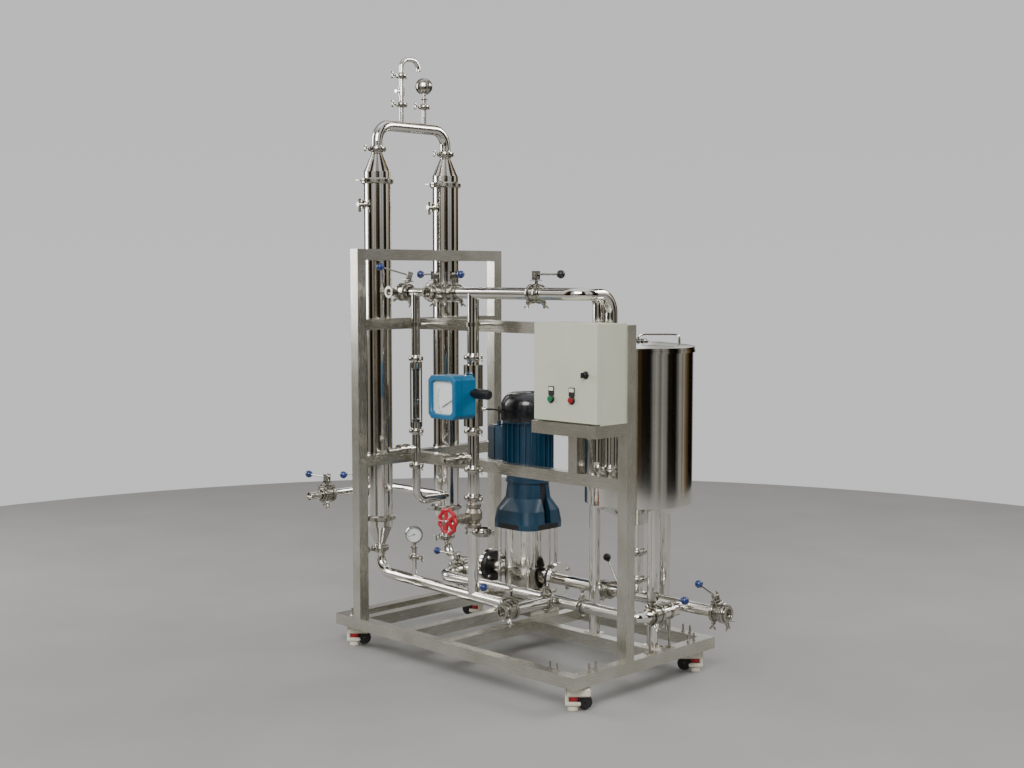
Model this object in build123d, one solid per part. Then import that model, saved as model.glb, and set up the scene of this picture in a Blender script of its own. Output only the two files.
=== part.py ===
from build123d import *
import math
import os

os.makedirs("parts", exist_ok=True)

# Base frame of square tube on levelling castors, all sizes in mm
baseLength = 1500
baseDepth = 900
tube = 50
baseUnder = 100
portalInset = 180
portalTop = 1830
midRailTop = 1515
lowRailTop = 895
crossBeamXs = (-300, -50)
castorInset = 60
plateThick = 6
castorSlack = 0.3
xEnd = baseLength / 2
yEnd = baseDepth / 2
baseTop = baseUnder + tube
portalRight = -xEnd + portalInset
portalLeft = portalRight - tube

# Pipe and fitting sizes
pipeR = 25.4
smallR = 19
ventR = 11
sampleR = 13
teeSlack = 0.3
bendR = 76
smallBendR = 57
clampR = 41
clampWide = 20
smallClampR = 33
ventClampR = 25
clampSlack = 0.3
gasket = 1.6
boreWall = 1.6

# The header runs in front of the rails, the return pipes and the tank behind them
lineInset = 213
railGap = 97
returnGap = 36
tankGap = 47
tankR = 232
tankWall = 3
rimOut = 8
lineY = -yEnd + lineInset
sidePlaneY = lineY + railGap
sideBackY = sidePlaneY + tube
returnY = sideBackY + returnGap
tankY = returnY + tankGap + tankR
pumpY = tankY
innerBeamY = pumpY - 135
backRunY = pumpY - 243

# Membrane housings behind the portal rails
housingInset = 65
housingX = -xEnd + housingInset
housingFrontY = lineY
housingBackY = pumpY - 40
housingR = 62
housingLow = 582
housingHigh = 2143
bigClampR = 75
bigClampWide = 26
capLong = 42
coneLong = 84
neckLong = 20
crossoverZ = 2402
ventY = housingFrontY + 148
gaugeY = ventY + 139
cockZ = 2034

# Stations along the header in front of the rails
headerZ = 1636
headerLeftX = housingX + 139
lineAX = headerLeftX + 125
reducerX = lineAX + 121
reducerLong = 34
crossX = reducerX + 70
lineBX = crossX + 186
hiddenBranchX = lineBX + 209
drainX = hiddenBranchX + 67

# Tank
tankX = xEnd - 250
tankTop = 1400
tankLow = 742
outletTop = 640
legReach = 188
legR = 24
footThick = 6
returnX = tankX + 86
secondReturnX = tankX + 18
returnLow = 860
returnJoint = 919
returnBend = 45
secondReturnLow = 895
returnIn = 114

# Heights down the two instrument lines
lineATop = 1336
lineALow = 1009
sampleZ = lineALow - 79
lineAJointZ = 851
lineBTop = 1357
lineBLow = 1038
lineBJointZs = (870, 746)
lineAEnd = 687
meterTop = 1326
meterR = 42
castTop = 718
castLow = 615
castJointZ = castLow - 18

# Flow meter's case and the sensor on its tube
meterLow = 1102
meterHigh = 1287
meterHalf = 86
meterDeep = 122
meterGap = 22
windowEdge = 22
plugZ = 1212
plugR = 22
plugLong = 106
sensorZ = 1133
sensorOut = 12
glandR = 9

# Low runs
feedLeftZ = 328
lowZ = 303
endLineX = xEnd - 34
branchBackY = sidePlaneY + 110

# Pump, its ports and motor
pumpX = lineBX - 121
outletX = pumpX - 335
portZ = 327
portR = 38
portLeft = 240
portRight = 194
collarR = 72
collarThick = 22
flangeR = 78
flangeThick = 18
pumpFoot = 232
footPlate = 22
sleeveLow = 368
sleeveTop = 548
sleeveR = 108
stayReach = 131
stayR = 8
lanternTop = 771
lanternSide = 258
neckWide = 209
finLow = 814
finTop = 1043
motorTop = 1174
motorR = 120
cowlR = 124
terminalLow = 850
terminalHigh = 1008
terminalHalf = 56
terminalOut = 86
lidOut = 40
glandHigh = 24
glandX = pumpX - motorR - 33
glandY = pumpY - 39

# Control cabinet
cabLeft = tankX - 97
cabRight = xEnd - 5
cabFront = sidePlaneY - 177
cabLow = 1125
cabHigh = 1522
doorThick = 20
doorGap = 0.9
doorFoot = 6
sheet = 2
lockX = cabRight - 73
lockZ = cabLow + 197
buttonXs = (cabLeft + 96, cabLeft + 208)
buttonZ = cabLow + 93

# Valves
stemPinR = 6
pinSlack = 0.06
hubR = 14
leverArm = 140
leverRise = 80
ballR = 17
valveHalf = 28
ferruleLong = 18
branchX = housingX - 192
branchTail = lineY - 264
branchOuterY = branchTail + 103
branchInnerY = branchTail + 341
headerRightX = returnX - 252
suctionValveX = tankX - 175
outletValveY = backRunY + 100
endValveY = backRunY + 99
farValveX = xEnd + 189
farEndX = farValveX + 49

# Handwheel
wheelR = 62
wheelReach = 152
wheelZ = 660

# Meter cable
cableR = 4

# The part's own origin is the middle of its outline on the floor
leftReach = branchX - leverArm - ballR
shiftX = -(leftReach + farEndX) / 2
shiftY = -(branchTail + tankY + tankR + rimOut) / 2

up = (0, 0, 1)
elbows = []
clamps = []
fittings = []


# Export one node of one or more solids, moved to the part's origin
def put(node, shapes):
    solids = []
    for shape in shapes:
        solids.extend((Pos(shiftX, shiftY, 0) * shape).solids())
    export_step(Compound(children=solids) if len(solids) > 1 else solids[0], "parts/" + node + ".step")
    print(node, len(solids))


def box(x0, y0, z0, x1, y1, z1):
    return Pos((x0 + x1) / 2, (y0 + y1) / 2, (z0 + z1) / 2) * Box(x1 - x0, y1 - y0, z1 - z0)


def rod(start, way, length, radius):
    return Solid.make_cylinder(radius, length, Plane(origin=start, z_dir=way))


def rodTo(start, end, radius):
    span = Vector(*end) - Vector(*start)
    return rod(start, tuple(span), span.length, radius)


def taper(start, way, length, r0, r1):
    return Solid.make_cone(r0, r1, length, Plane(origin=start, z_dir=way))


def spun(profile):
    return revolve(make_face(Plane.XZ * Polyline(*profile, close=True)), Axis.Z)


# Put a shape made about the origin at a place, its X along the pipe and its Z along the stem
def place(shape, at, pipe, stem):
    return Location(Plane(origin=at, x_dir=pipe, z_dir=stem)) * shape


def alongZ(shape, at, way):
    return Location(Plane(origin=at, z_dir=way)) * shape


# Straight lengths of a pipe route; its elbows go to the shared list
def route(points, radius, bend):
    straights = []
    start = Vector(*points[0])
    for here, after in zip(points[1:], points[2:]):
        corner = Vector(*here)
        inWay = (corner - start).normalized()
        outWay = (Vector(*after) - corner).normalized()
        setBack = bend * math.tan(math.radians(inWay.get_angle(outWay)) / 2)
        a = corner - inWay * setBack
        b = corner + outWay * setBack
        straights.append(rodTo(tuple(start), tuple(a), radius))
        arc = TangentArc(a, b, tangent=inWay)
        elbows.append(sweep(Plane(origin=a, z_dir=inWay) * Circle(radius), path=arc))
        start = b
    straights.append(rodTo(tuple(start), points[-1], radius))
    return straights


# Two halves of a pipe clamp with its wing screw, round a joint
def clampRing(outer, inner, wide):
    half = wide / 2
    ring = spun([(inner, -half), (outer - 7, -half), (outer, -half * 0.5), (outer, half * 0.5),
                 (outer - 7, half), (inner, half)])
    lug = box(outer - 6, -8, -half * 0.8, outer + 9, 8, half * 0.8)
    screw = rod((outer + 9, 0, 0), (1, 0, 0), 26, 3)
    wing = box(outer + 30, -13, -2, outer + 42, 13, 2)
    return ring + lug + screw + wing


def clamp(at, way, side, pipe=pipeR, outer=clampR):
    ring = clampRing(outer, pipe + clampSlack, clampWide)
    clamps.append(Location(Plane(origin=at, x_dir=side, z_dir=way)) * ring)


# Cut the pipe at a joint so that a gasket's gap is left under the clamp
def joint(at, way, radius=pipeR):
    start = Vector(*at) - Vector(*way) * (gasket / 2)
    return rod(tuple(start), way, gasket, radius + 1)


def makeFrame():
    x0 = -xEnd
    front = box(x0, -yEnd, baseUnder, xEnd, -yEnd + tube, baseTop)
    back = box(x0, yEnd - tube, baseUnder, xEnd, yEnd, baseTop)
    inner = box(crossBeamXs[1] + tube, innerBeamY, baseUnder, xEnd - tube, innerBeamY + tube, baseTop)
    x, y = castorAt(1, 1)
    for sx in (-1, 1):
        plate = box(sx * x - 45, -y - 45, baseUnder - plateThick, sx * x + 45, -y + 45, baseUnder)
        front = front + plate
        back = back + Pos(0, 2 * y, 0) * plate
    put("base_long_beams", [front, back, inner])
    crossXs = (x0, portalLeft) + crossBeamXs + (xEnd - tube,)
    put("base_cross_beams", [box(x, -yEnd + tube, baseUnder, x + tube, yEnd - tube, baseTop) for x in crossXs])


# Portal posts and rail meet on a mitre at the top corners
def mitre(sign):
    y = sign * yEnd
    inward = -sign
    corner = [(y, portalTop), (y + inward * tube, portalTop - tube), (y, portalTop - tube)]
    face = make_face(Plane.YZ * Polyline(*corner, close=True))
    return extrude(Pos(portalLeft, 0, 0) * face, amount=tube, dir=(1, 0, 0))


def makePortal():
    posts = []
    topRail = box(portalLeft, -yEnd, portalTop - tube, portalRight, yEnd, portalTop)
    for sign in (-1, 1):
        low = min(sign * yEnd, sign * (yEnd - tube))
        post = box(portalLeft, low, baseTop, portalRight, low + tube, portalTop - tube)
        posts.append(post + mitre(sign))
        topRail = topRail - mitre(sign)
    posts.append(box(xEnd - tube, sidePlaneY, baseTop, xEnd, sideBackY, midRailTop))
    strutX = cabLeft + 24
    posts.append(box(strutX, sidePlaneY, lowRailTop, strutX + tube, sideBackY, midRailTop - tube))
    put("upright_posts", posts)
    yIn = yEnd - tube
    cross = [topRail]
    cross.append(box(portalLeft, -yIn, midRailTop - tube, portalRight, yIn, midRailTop))
    cross.append(box(portalLeft, -yIn, lowRailTop - tube, portalRight, yIn, lowRailTop))
    for x in (strutX, xEnd - tube):
        cross.append(box(x, cabFront + 37, cabLow - tube, x + tube, sidePlaneY, cabLow))
    put("cross_rails", cross)
    side = []
    for z in (midRailTop, lowRailTop):
        side.append(box(portalRight, sidePlaneY, z - tube, xEnd - tube, sideBackY, z))
    side.append(box(cabLeft - 3, cabFront - 13, cabLow - tube, xEnd, cabFront + 37, cabLow))
    put("side_rails", side)


def makeCabinet():
    bodyFront = cabFront + doorThick + doorGap
    cabBack = sidePlaneY
    shell = box(cabLeft, bodyFront, cabLow, cabRight, cabBack, cabHigh)
    hollow = box(cabLeft + sheet, bodyFront - 1, cabLow + sheet, cabRight - sheet, cabBack - sheet, cabHigh - sheet)
    lipIn = 14
    lip = box(cabLeft + sheet, bodyFront, cabLow + sheet, cabRight - sheet, bodyFront + sheet, cabHigh - sheet)
    lip = lip - box(cabLeft + lipIn, bodyFront - 1, cabLow + lipIn, cabRight - lipIn, bodyFront + 9, cabHigh - lipIn)
    put("control_cabinet", [shell - hollow + lip])
    door = box(cabLeft, cabFront, cabLow + doorFoot, cabRight, cabFront + doorThick, cabHigh)
    inside = box(cabLeft + sheet, cabFront + sheet, cabLow + doorFoot + sheet, cabRight - sheet, cabFront + 99, cabHigh - sheet)
    put("cabinet_door", [door - inside])
    lock = rod((lockX, cabFront, lockZ), (0, -1, 0), 9, 13) + rod((lockX, cabFront - 9, lockZ), (0, -1, 0), 8, 8)
    parts = [lock]
    for x in buttonXs:
        button = rod((x, cabFront, buttonZ), (0, -1, 0), 12, 11) + rod((x, cabFront - 12, buttonZ), (0, -1, 0), 9, 9)
        plate = box(x - 14, cabFront - 2.5, buttonZ + 14, x + 14, cabFront, buttonZ + 44)
        parts.append(button + plate)
    put("door_controls", parts)


def makeHousings():
    bodies = []
    bigRings = []
    neckLow = housingLow - capLong - coneLong - neckLong
    neckHigh = housingHigh + capLong + coneLong + neckLong
    r = housingR
    profile = [(0, neckLow), (pipeR, neckLow), (pipeR, neckLow + neckLong), (r, housingLow - capLong),
               (r, housingHigh + capLong), (pipeR, neckHigh - neckLong), (pipeR, neckHigh), (0, neckHigh)]
    for y in (housingFrontY, housingBackY):
        bodies.append(Pos(housingX, y, 0) * spun(profile))
        for z in (housingLow, housingHigh):
            ring = clampRing(bigClampR, r + clampSlack, bigClampWide)
            bigRings.append(Location(Plane(origin=(housingX, y, z), x_dir=(0, -1, 0))) * ring)
        for z in (midRailTop - tube / 2, lowRailTop - tube / 2):
            band = spun([(r + clampSlack, -20), (r + 2.8, -20), (r + 2.8, 20), (r + clampSlack, 20)])
            foot = box(r * 0.7, -38, -20, portalLeft - housingX, 38, 20) - Cylinder(r + clampSlack, 60)
            bigRings.append(Pos(housingX, y, z) * (band + foot))
    put("membrane_housings", bodies)
    put("housing_clamps", bigRings)
    return neckLow, neckHigh


def makeCrossover(neckHigh):
    a = (housingX, housingFrontY, neckHigh + gasket)
    b = (housingX, housingBackY, neckHigh + gasket)
    points = [a, (housingX, housingFrontY, crossoverZ), (housingX, housingBackY, crossoverZ), b]
    pieces = route(points, pipeR, bendR)
    stubTop = crossoverZ + pipeR + 76
    top = pieces[1]
    for y in (ventY, gaugeY):
        top = top + rod((housingX, y, crossoverZ), up, stubTop - crossoverZ, ventR)
    vent = makeVent(stubTop + gasket)
    put("crossover_pipe", [pieces[0], top, pieces[2]] + vent)
    for end in (a, b):
        clamp(end, up, (0, -1, 0))
    for y in (ventY, gaugeY):
        clamp((housingX, y, stubTop + gasket / 2), up, (0, -1, 0), ventR, ventClampR)
    makeGauges(stubTop + gasket)


# Small vent valve with its swan neck
def makeVent(z0):
    x = housingX
    body = rod((x, ventY, z0), up, 40, ventR)
    body = body + rod((x, ventY, z0 + 40), up, 38, 15)
    body = body + rod((x, ventY, z0 + 59), (0, -1, 0), 34, 8)
    body = body + rod((x, ventY, z0 + 78), up, 52, ventR)
    neckZ = z0 + 130 + gasket
    neck = route([(x, ventY, neckZ), (x, ventY, neckZ + 80), (x, ventY + 106, neckZ + 80),
                  (x, ventY + 106, neckZ + 30)], ventR, 44)
    swan = neck[0] + elbows.pop() + elbows.pop() + neck[1] + neck[2]
    clamp((x, ventY, neckZ - gasket / 2), up, (0, -1, 0), ventR, ventClampR)
    return [body, swan]


def gauge(at, rise):
    x, y, z = at
    post = rod(at, up, 34, ventR) + rod((x, y, z + 34), up, rise - 34, 7)
    case = spun([(0, -16), (36, -16), (39, -12), (39, 14), (35, 18), (34, 13), (0, 13)])
    return post + alongZ(case, (x, y, z + rise + 34), (1, -1, 0))


def makeGauges(z0):
    top = gauge((housingX, gaugeY, z0), 60)
    gx = lineAX - 19
    stubLow = feedHeight(gx)
    stubTop = stubLow + 105
    low = gauge((gx, lineY, stubTop + gasket), 62)
    fittings.append(rod((gx, lineY, stubLow), up, stubTop - stubLow, ventR))
    clamp((gx, lineY, stubTop + gasket / 2), up, (1, 0, 0), ventR, ventClampR)
    put("pressure_gauges", [top, low])


# Height of the feed pipe's axis, which falls to its drain
def feedHeight(x):
    return feedLeftZ + (lowZ - feedLeftZ) * (x - housingX) / (drainX - housingX)


def makeFeed(neckLow):
    points = [(housingX, housingFrontY, neckLow - gasket), (housingX, lineY, feedLeftZ), (drainX, lineY, lowZ)]
    drop, run = route(points, pipeR, bendR)
    drain = rodTo((drainX, lineY - 27, lowZ), (drainX, backRunY, lowZ), pipeR)
    run = run + drain
    for stub in fittings:
        run = run + stub
    run = run - rodTo((outletX, backRunY, lowZ), (endLineX, backRunY, lowZ), pipeR)
    crossJoint = (drainX, backRunY - 47, lowZ)
    jointX = drainX - 75
    feedJoint = (jointX, lineY, feedHeight(jointX))
    run = run - joint(crossJoint, (0, 1, 0))
    run = run - joint(feedJoint, (1, 0, 0))
    put("feed_pipes", [drop, run])
    clamp(points[0], up, (0, -1, 0))
    clamp(crossJoint, (0, 1, 0), (0, 0, 1))
    slope = (drainX - housingX, 0, lowZ - feedLeftZ)
    clamp(feedJoint, slope, (0, -1, -0.2))


def makeHeader():
    small = rodTo((headerLeftX, lineY, headerZ), (reducerX, lineY, headerZ), smallR)
    small = small + rod((headerLeftX, lineY, headerZ), (0, -1, 0), 34, smallR)
    small = small + taper((reducerX, lineY, headerZ), (1, 0, 0), reducerLong, smallR, pipeR)
    main = route([(reducerX + reducerLong, lineY, headerZ), (returnX, lineY, headerZ), (returnX, returnY, headerZ),
                  (returnX, returnY, returnLow)], pipeR, bendR)
    tankIn = returnY + returnIn
    last = route([(returnX, returnY, returnJoint - gasket), (returnX, returnY, returnLow),
                  (returnX, tankIn, returnLow)], pipeR, returnBend)
    run = small + main[0]
    run = run + rod((crossX, lineY, headerZ), (0, -1, 0), 27, pipeR - teeSlack)
    for x in (headerLeftX + 53, crossX + 62, headerRightX):
        run = run - rod((x - valveHalf, lineY, headerZ), (1, 0, 0), 2 * valveHalf, 60)
    hidden = route([(hiddenBranchX, lineY, headerZ), (hiddenBranchX, returnY, headerZ),
                    (secondReturnX, returnY, headerZ), (secondReturnX, returnY, secondReturnLow),
                    (secondReturnX, tankIn, secondReturnLow)], pipeR, returnBend)
    branchEnd = (hiddenBranchX, returnY - returnBend, headerZ)
    run = run + rodTo((hiddenBranchX, lineY, headerZ), branchEnd, pipeR - teeSlack)
    tankBody = rod((tankX, tankY, tankLow), up, 900, tankR)
    belowJoint = box(returnX - 50, returnY - 50, 0, returnX + 50, returnY + 50, returnJoint)
    fall = [main[2] - belowJoint, last[0]]
    put("header_pipes", [run, hidden[1], main[1]] + fall + [last[1] - tankBody, hidden[2], hidden[3] - tankBody])
    clamp((returnX, returnY, returnJoint - gasket / 2), up, (1, 0, 0))


def makeLineA():
    header = rodTo((headerLeftX, lineY, headerZ), (reducerX, lineY, headerZ), smallR)
    top = rodTo((lineAX, lineY, lineATop + gasket), (lineAX, lineY, headerZ), smallR) - header
    r = 25
    cage = rod((lineAX, lineY, lineATop - 42), up, 28, r) + rod((lineAX, lineY, lineALow + 14), up, 28, r)
    cage = cage + rod((lineAX, lineY, lineATop - 20), up, 20, smallR) + rod((lineAX, lineY, lineALow), up, 20, smallR)
    for a in (45, 135, 225, 315):
        x = lineAX + 24 * math.cos(math.radians(a))
        y = lineY + 24 * math.sin(math.radians(a))
        cage = cage + rod((x, y, lineALow + 20), up, lineATop - lineALow - 40, 4)
    low = route([(lineAX, lineY, lineALow - gasket), (lineAX, lineY, lineAEnd), (lineAX, branchBackY, lineAEnd),
                 (branchX, branchBackY, lineAEnd), (branchX, branchTail, lineAEnd)], smallR, smallBendR)
    sample = rod((lineAX, lineY, sampleZ), (0, -1, 0), 50, sampleR)
    put("line_a_pipes", [top, cage, low[0] + sample - joint((lineAX, lineY, lineAJointZ), up), low[1]])
    put("rotameter_glass", [rod((lineAX, lineY, lineALow + 42), up, lineATop - lineALow - 84, 16)])
    branch = low[3]
    for y in (branchOuterY, branchInnerY):
        branch = branch - rod((branchX, y - valveHalf, lineAEnd), (0, 1, 0), 2 * valveHalf, 60)
    branch = branch - rod((branchX, branchTail - 1, lineAEnd), (0, 1, 0), 40, smallR - boreWall)
    put("side_branch_pipes", [low[2], branch])
    for z in (lineATop + gasket / 2, lineALow - gasket / 2, lineAJointZ):
        clamp((lineAX, lineY, z), up, (1, -0.3, 0), smallR, smallClampR)


def makeLineB():
    header = rodTo((crossX, lineY, headerZ), (0, lineY, headerZ), pipeR)
    feed = rodTo((outletX, lineY, feedHeight(outletX)), (drainX, lineY, feedHeight(drainX)), pipeR)
    axis = (lineBX, lineY)
    top = rodTo(axis + (lineBTop + gasket,), axis + (headerZ,), pipeR) - header
    meter = rodTo(axis + (lineBLow,), axis + (lineBTop,), pipeR) + rodTo(axis + (lineBLow + 22,), axis + (meterTop,), meterR)
    meter = meter + rod(axis + (sensorZ,), (1, 1, 0), meterR + sensorOut, glandR)
    mid = rodTo(axis + (castTop,), axis + (lineBLow - gasket,), pipeR)
    mid = mid + rod(axis + (sampleZ - 7,), (0, -1, 0), 50, sampleR)
    for z in lineBJointZs:
        mid = mid - joint(axis + (z,), up)
        clamp(axis + (z,), up, (1, -0.2, 0))
    low = rodTo(axis + (feedHeight(lineBX),), axis + (castLow,), pipeR) - feed
    low = low - joint(axis + (castJointZ,), up)
    clamp(axis + (castJointZ,), up, (1, 0.4, 0), pipeR, clampR + 6)
    put("line_b_pipes", [top, meter, mid, low])
    for z in (lineBTop + gasket / 2, lineBLow - gasket / 2):
        clamp(axis + (z,), up, (1, -0.2, 0))
    meterZ = (meterLow + meterHigh) / 2
    neck = rod((lineBX, lineY - meterR + 3, meterZ), (0, -1, 0), meterGap + 8, 18)
    back = lineY - meterR - meterGap
    case = box(lineBX - meterHalf, back - meterDeep, meterLow, lineBX + meterHalf, back, meterHigh)
    case = chamfer(case.edges().filter_by(Axis.Y), 18)
    wide = meterHalf - windowEdge
    window = box(lineBX - wide, back - meterDeep - 8, meterLow + windowEdge, lineBX + wide, back - meterDeep + 3, meterHigh - windowEdge)
    plug = rod((lineBX + meterHalf, back - plugR, plugZ), (1, 0, 0), plugLong, plugR)
    put("flow_meter", [case - window + (neck - rod(axis + (lineBLow,), up, 400, meterR)) + plug])


# Cast globe valve with a bonnet towards the front and its lobed wheel
def makeControlValve():
    axis = (lineBX, lineY)
    body = spun([(0, castLow), (33, castLow), (33, castLow + 14), (27, castLow + 20), (38, castLow + 40),
                 (38, castTop - 36), (27, castTop - 18), (33, castTop - 14), (33, castTop), (0, castTop)])
    body = Pos(lineBX, lineY, 0) * body
    bonnet = rod((lineBX, lineY, wheelZ), (0, -1, 0), 70, 24) + rod((lineBX, lineY - 70, wheelZ), (0, -1, 0), 26, 17)
    stem = rod((lineBX, lineY - 96, wheelZ), (0, -1, 0), 40, 9) + rod((lineBX, lineY - 136, wheelZ), (0, -1, 0), 22, stemPinR)
    put("control_valve", [body + bonnet + stem])
    rim = Torus(wheelR - 7, 7)
    wheel = rim + Cylinder(15, 24)
    for k in range(5):
        wheel = wheel + Rot(0, 0, 72 * k + 10) * (Pos((wheelR - 10) / 2 + 5, 0, 0) * Box(wheelR - 20, 11, 8))
        wheel = wheel + Rot(0, 0, 72 * k + 46) * (Pos(wheelR - 5, 0, 0) * Cylinder(10, 12))
    wheel = wheel - Pos(0, 0, -10) * Cylinder(stemPinR + pinSlack, 36)
    wheel = Location(Plane(origin=(lineBX, lineY - wheelReach, wheelZ), z_dir=(0, -1, 0))) * wheel
    put("handwheel", [wheel])


def makeLowRuns(neckLow):
    start = (housingX, housingBackY, neckLow - gasket)
    port = (pumpX - portLeft, pumpY, portZ)
    points = [start, (housingX, housingBackY, portZ), (housingX + 125, housingBackY, portZ),
              (housingX + 205, pumpY, portZ), port]
    pipes = route(points, pipeR, bendR)
    turns = elbows[-2:]
    pipes[1] = pipes[1] + turns[0] + pipes[2] + turns[1] + pipes[3]
    del elbows[-2:]
    pipes[1] = pipes[1] + rod(port, (-1, 0, 0), flangeThick, flangeR)
    put("discharge_pipes", [pipes[0], pipes[1]])
    clamp(start, up, (0, -1, 0))
    back = route([(outletX, pumpY, lowZ), (outletX, backRunY, lowZ), (endLineX, backRunY, lowZ),
                  (endLineX, tankY, lowZ)], pipeR, smallBendR)
    suctionEnd = farEndX - ferruleLong
    port = (pumpX + portRight, pumpY, portZ)
    suction = rodTo(port, (suctionEnd, pumpY, portZ), pipeR)
    suction = suction + rod(port, (1, 0, 0), flangeThick, flangeR)
    suction = suction + rodTo((tankX, tankY, portZ), (tankX, tankY, outletTop), pipeR)
    for x in (suctionValveX, farValveX):
        suction = suction - rod((x - valveHalf, pumpY, portZ), (1, 0, 0), 2 * valveHalf, 60)
    for z in (400, 520):
        suction = suction - joint((tankX, tankY, z), up)
        clamp((tankX, tankY, z), up, (1, -1, 0))
    suction = suction - rod((suctionEnd + 1, pumpY, portZ), (-1, 0, 0), 30, pipeR - boreWall)
    put("suction_pipes", [suction])
    back[0] = back[0] - pipes[1]
    back[0] = back[0] - rod((outletX, outletValveY - valveHalf, lowZ), (0, 1, 0), 2 * valveHalf, 60)
    endRun = back[2] - suction - rod((endLineX, endValveY - valveHalf, lowZ), (0, 1, 0), 2 * valveHalf, 60)
    backJoint = (tankX - 100, backRunY, lowZ)
    back[1] = back[1] - joint(backJoint, (1, 0, 0))
    put("back_run_pipes", [back[0], back[1], endRun])
    clamp(backJoint, (1, 0, 0), (0, 0, 1))


# Pump: plinth, foot plate, casting with its two ports, steel sleeve and stay bolts
def makePump():
    plinth = box(pumpX - 110, pumpY - 95, baseTop, pumpX + 110, pumpY + 95, pumpFoot - footPlate)
    foot = box(pumpX - 140, pumpY - 125, pumpFoot - footPlate, pumpX + 140, pumpY + 125, pumpFoot)
    foot = chamfer(foot.edges().filter_by(Axis.Z), 45)
    waist = pumpFoot + 40
    casting = taper((pumpX, pumpY, pumpFoot), up, 40, 82, sleeveR)
    casting = casting + rod((pumpX, pumpY, waist), up, sleeveLow - waist, sleeveR)
    casting = casting + rod((pumpX, pumpY, sleeveLow - 12), up, 12, sleeveR + 12)
    leftX = pumpX - portLeft
    rightX = pumpX + portRight
    ports = rodTo((leftX + collarThick, pumpY, portZ), (rightX - collarThick, pumpY, portZ), portR)
    put("pump_base", [plinth + foot + casting + ports])
    left = rod((leftX, pumpY, portZ), (1, 0, 0), collarThick, collarR)
    right = rod((rightX, pumpY, portZ), (-1, 0, 0), collarThick, collarR)
    put("port_collars", [left, right])
    sleeve = [rod((pumpX, pumpY, sleeveLow), up, sleeveTop - sleeveLow, sleeveR)]
    for a in (45, 135, 225, 315):
        x = pumpX + stayReach * math.cos(math.radians(a))
        y = pumpY + stayReach * math.sin(math.radians(a))
        sleeve.append(rod((x, y, pumpFoot), up, sleeveTop - pumpFoot, stayR))
    put("pump_sleeve", sleeve)


def rounded(side, corner, z):
    return Pos(0, 0, z) * RectangleRounded(side, side, corner)


# Cast lantern lofted from a square skirt to a round neck, with a channel up each side for the coupling guard
def makeLantern():
    high = lanternTop - sleeveTop
    collarThin = 12
    skirt = extrude(rounded(lanternSide, 64, 0), amount=26)
    lower = loft([rounded(lanternSide, 64, 26), rounded(lanternSide - 12, 72, 84)])
    shoulder = loft([rounded(lanternSide - 12, 72, 84), rounded(neckWide, neckWide / 2 - 1, 139)])
    neck = taper((0, 0, 139), up, high - collarThin - 139, neckWide / 2, neckWide / 2 - 9)
    collar = rod((0, 0, high - collarThin), up, collarThin, neckWide / 2)
    lantern = skirt + lower + shoulder + neck + collar
    for sign in (-1, 1):
        channel = box(neckWide / 2 - 12, -20, 26, lanternSide / 2 + 9, 20, high - collarThin)
        lantern = lantern - Rot(0, 0, 90 - 90 * sign) * channel
    put("pump_lantern", [Pos(pumpX, pumpY, sleeveTop) * lantern])


# Finned motor with its terminal box towards the housings and a domed cowl on top
def makeMotor():
    axis = (pumpX, pumpY)
    body = rodTo(axis + (lanternTop,), axis + (finLow,), 100) + rodTo(axis + (finLow,), axis + (finTop,), motorR - 16)
    for k in range(24):
        fin = Pos(motorR - 13, 0, (finLow + finTop) / 2) * Box(26, 5, finTop - finLow - 6)
        body = body + Pos(pumpX, pumpY, 0) * (Rot(0, 0, 15 * k + 7.5) * fin)
    body = body + rodTo(axis + (finTop - 8,), axis + (finTop,), motorR)
    faceX = pumpX - motorR - terminalOut
    terminal = box(faceX + lidOut, pumpY - terminalHalf, terminalLow, pumpX - motorR + 22, pumpY + terminalHalf, terminalHigh)
    lid = box(faceX, pumpY - terminalHalf - 3, terminalLow - 3, faceX + lidOut, pumpY + terminalHalf + 3, terminalHigh + 3)
    lid = chamfer(lid.edges().filter_by(Axis.X), 10)
    gland = rod((glandX, glandY, terminalHigh), up, glandHigh, glandR)
    put("motor_body", [body + terminal + lid + gland])
    cowl = spun([(0, finTop), (cowlR, finTop), (cowlR, motorTop - 56), (cowlR - 7, motorTop - 34), (cowlR - 24, motorTop - 12),
                 (cowlR - 46, motorTop), (0, motorTop)])
    put("fan_cowl", [Pos(pumpX, pumpY, 0) * cowl])


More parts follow.
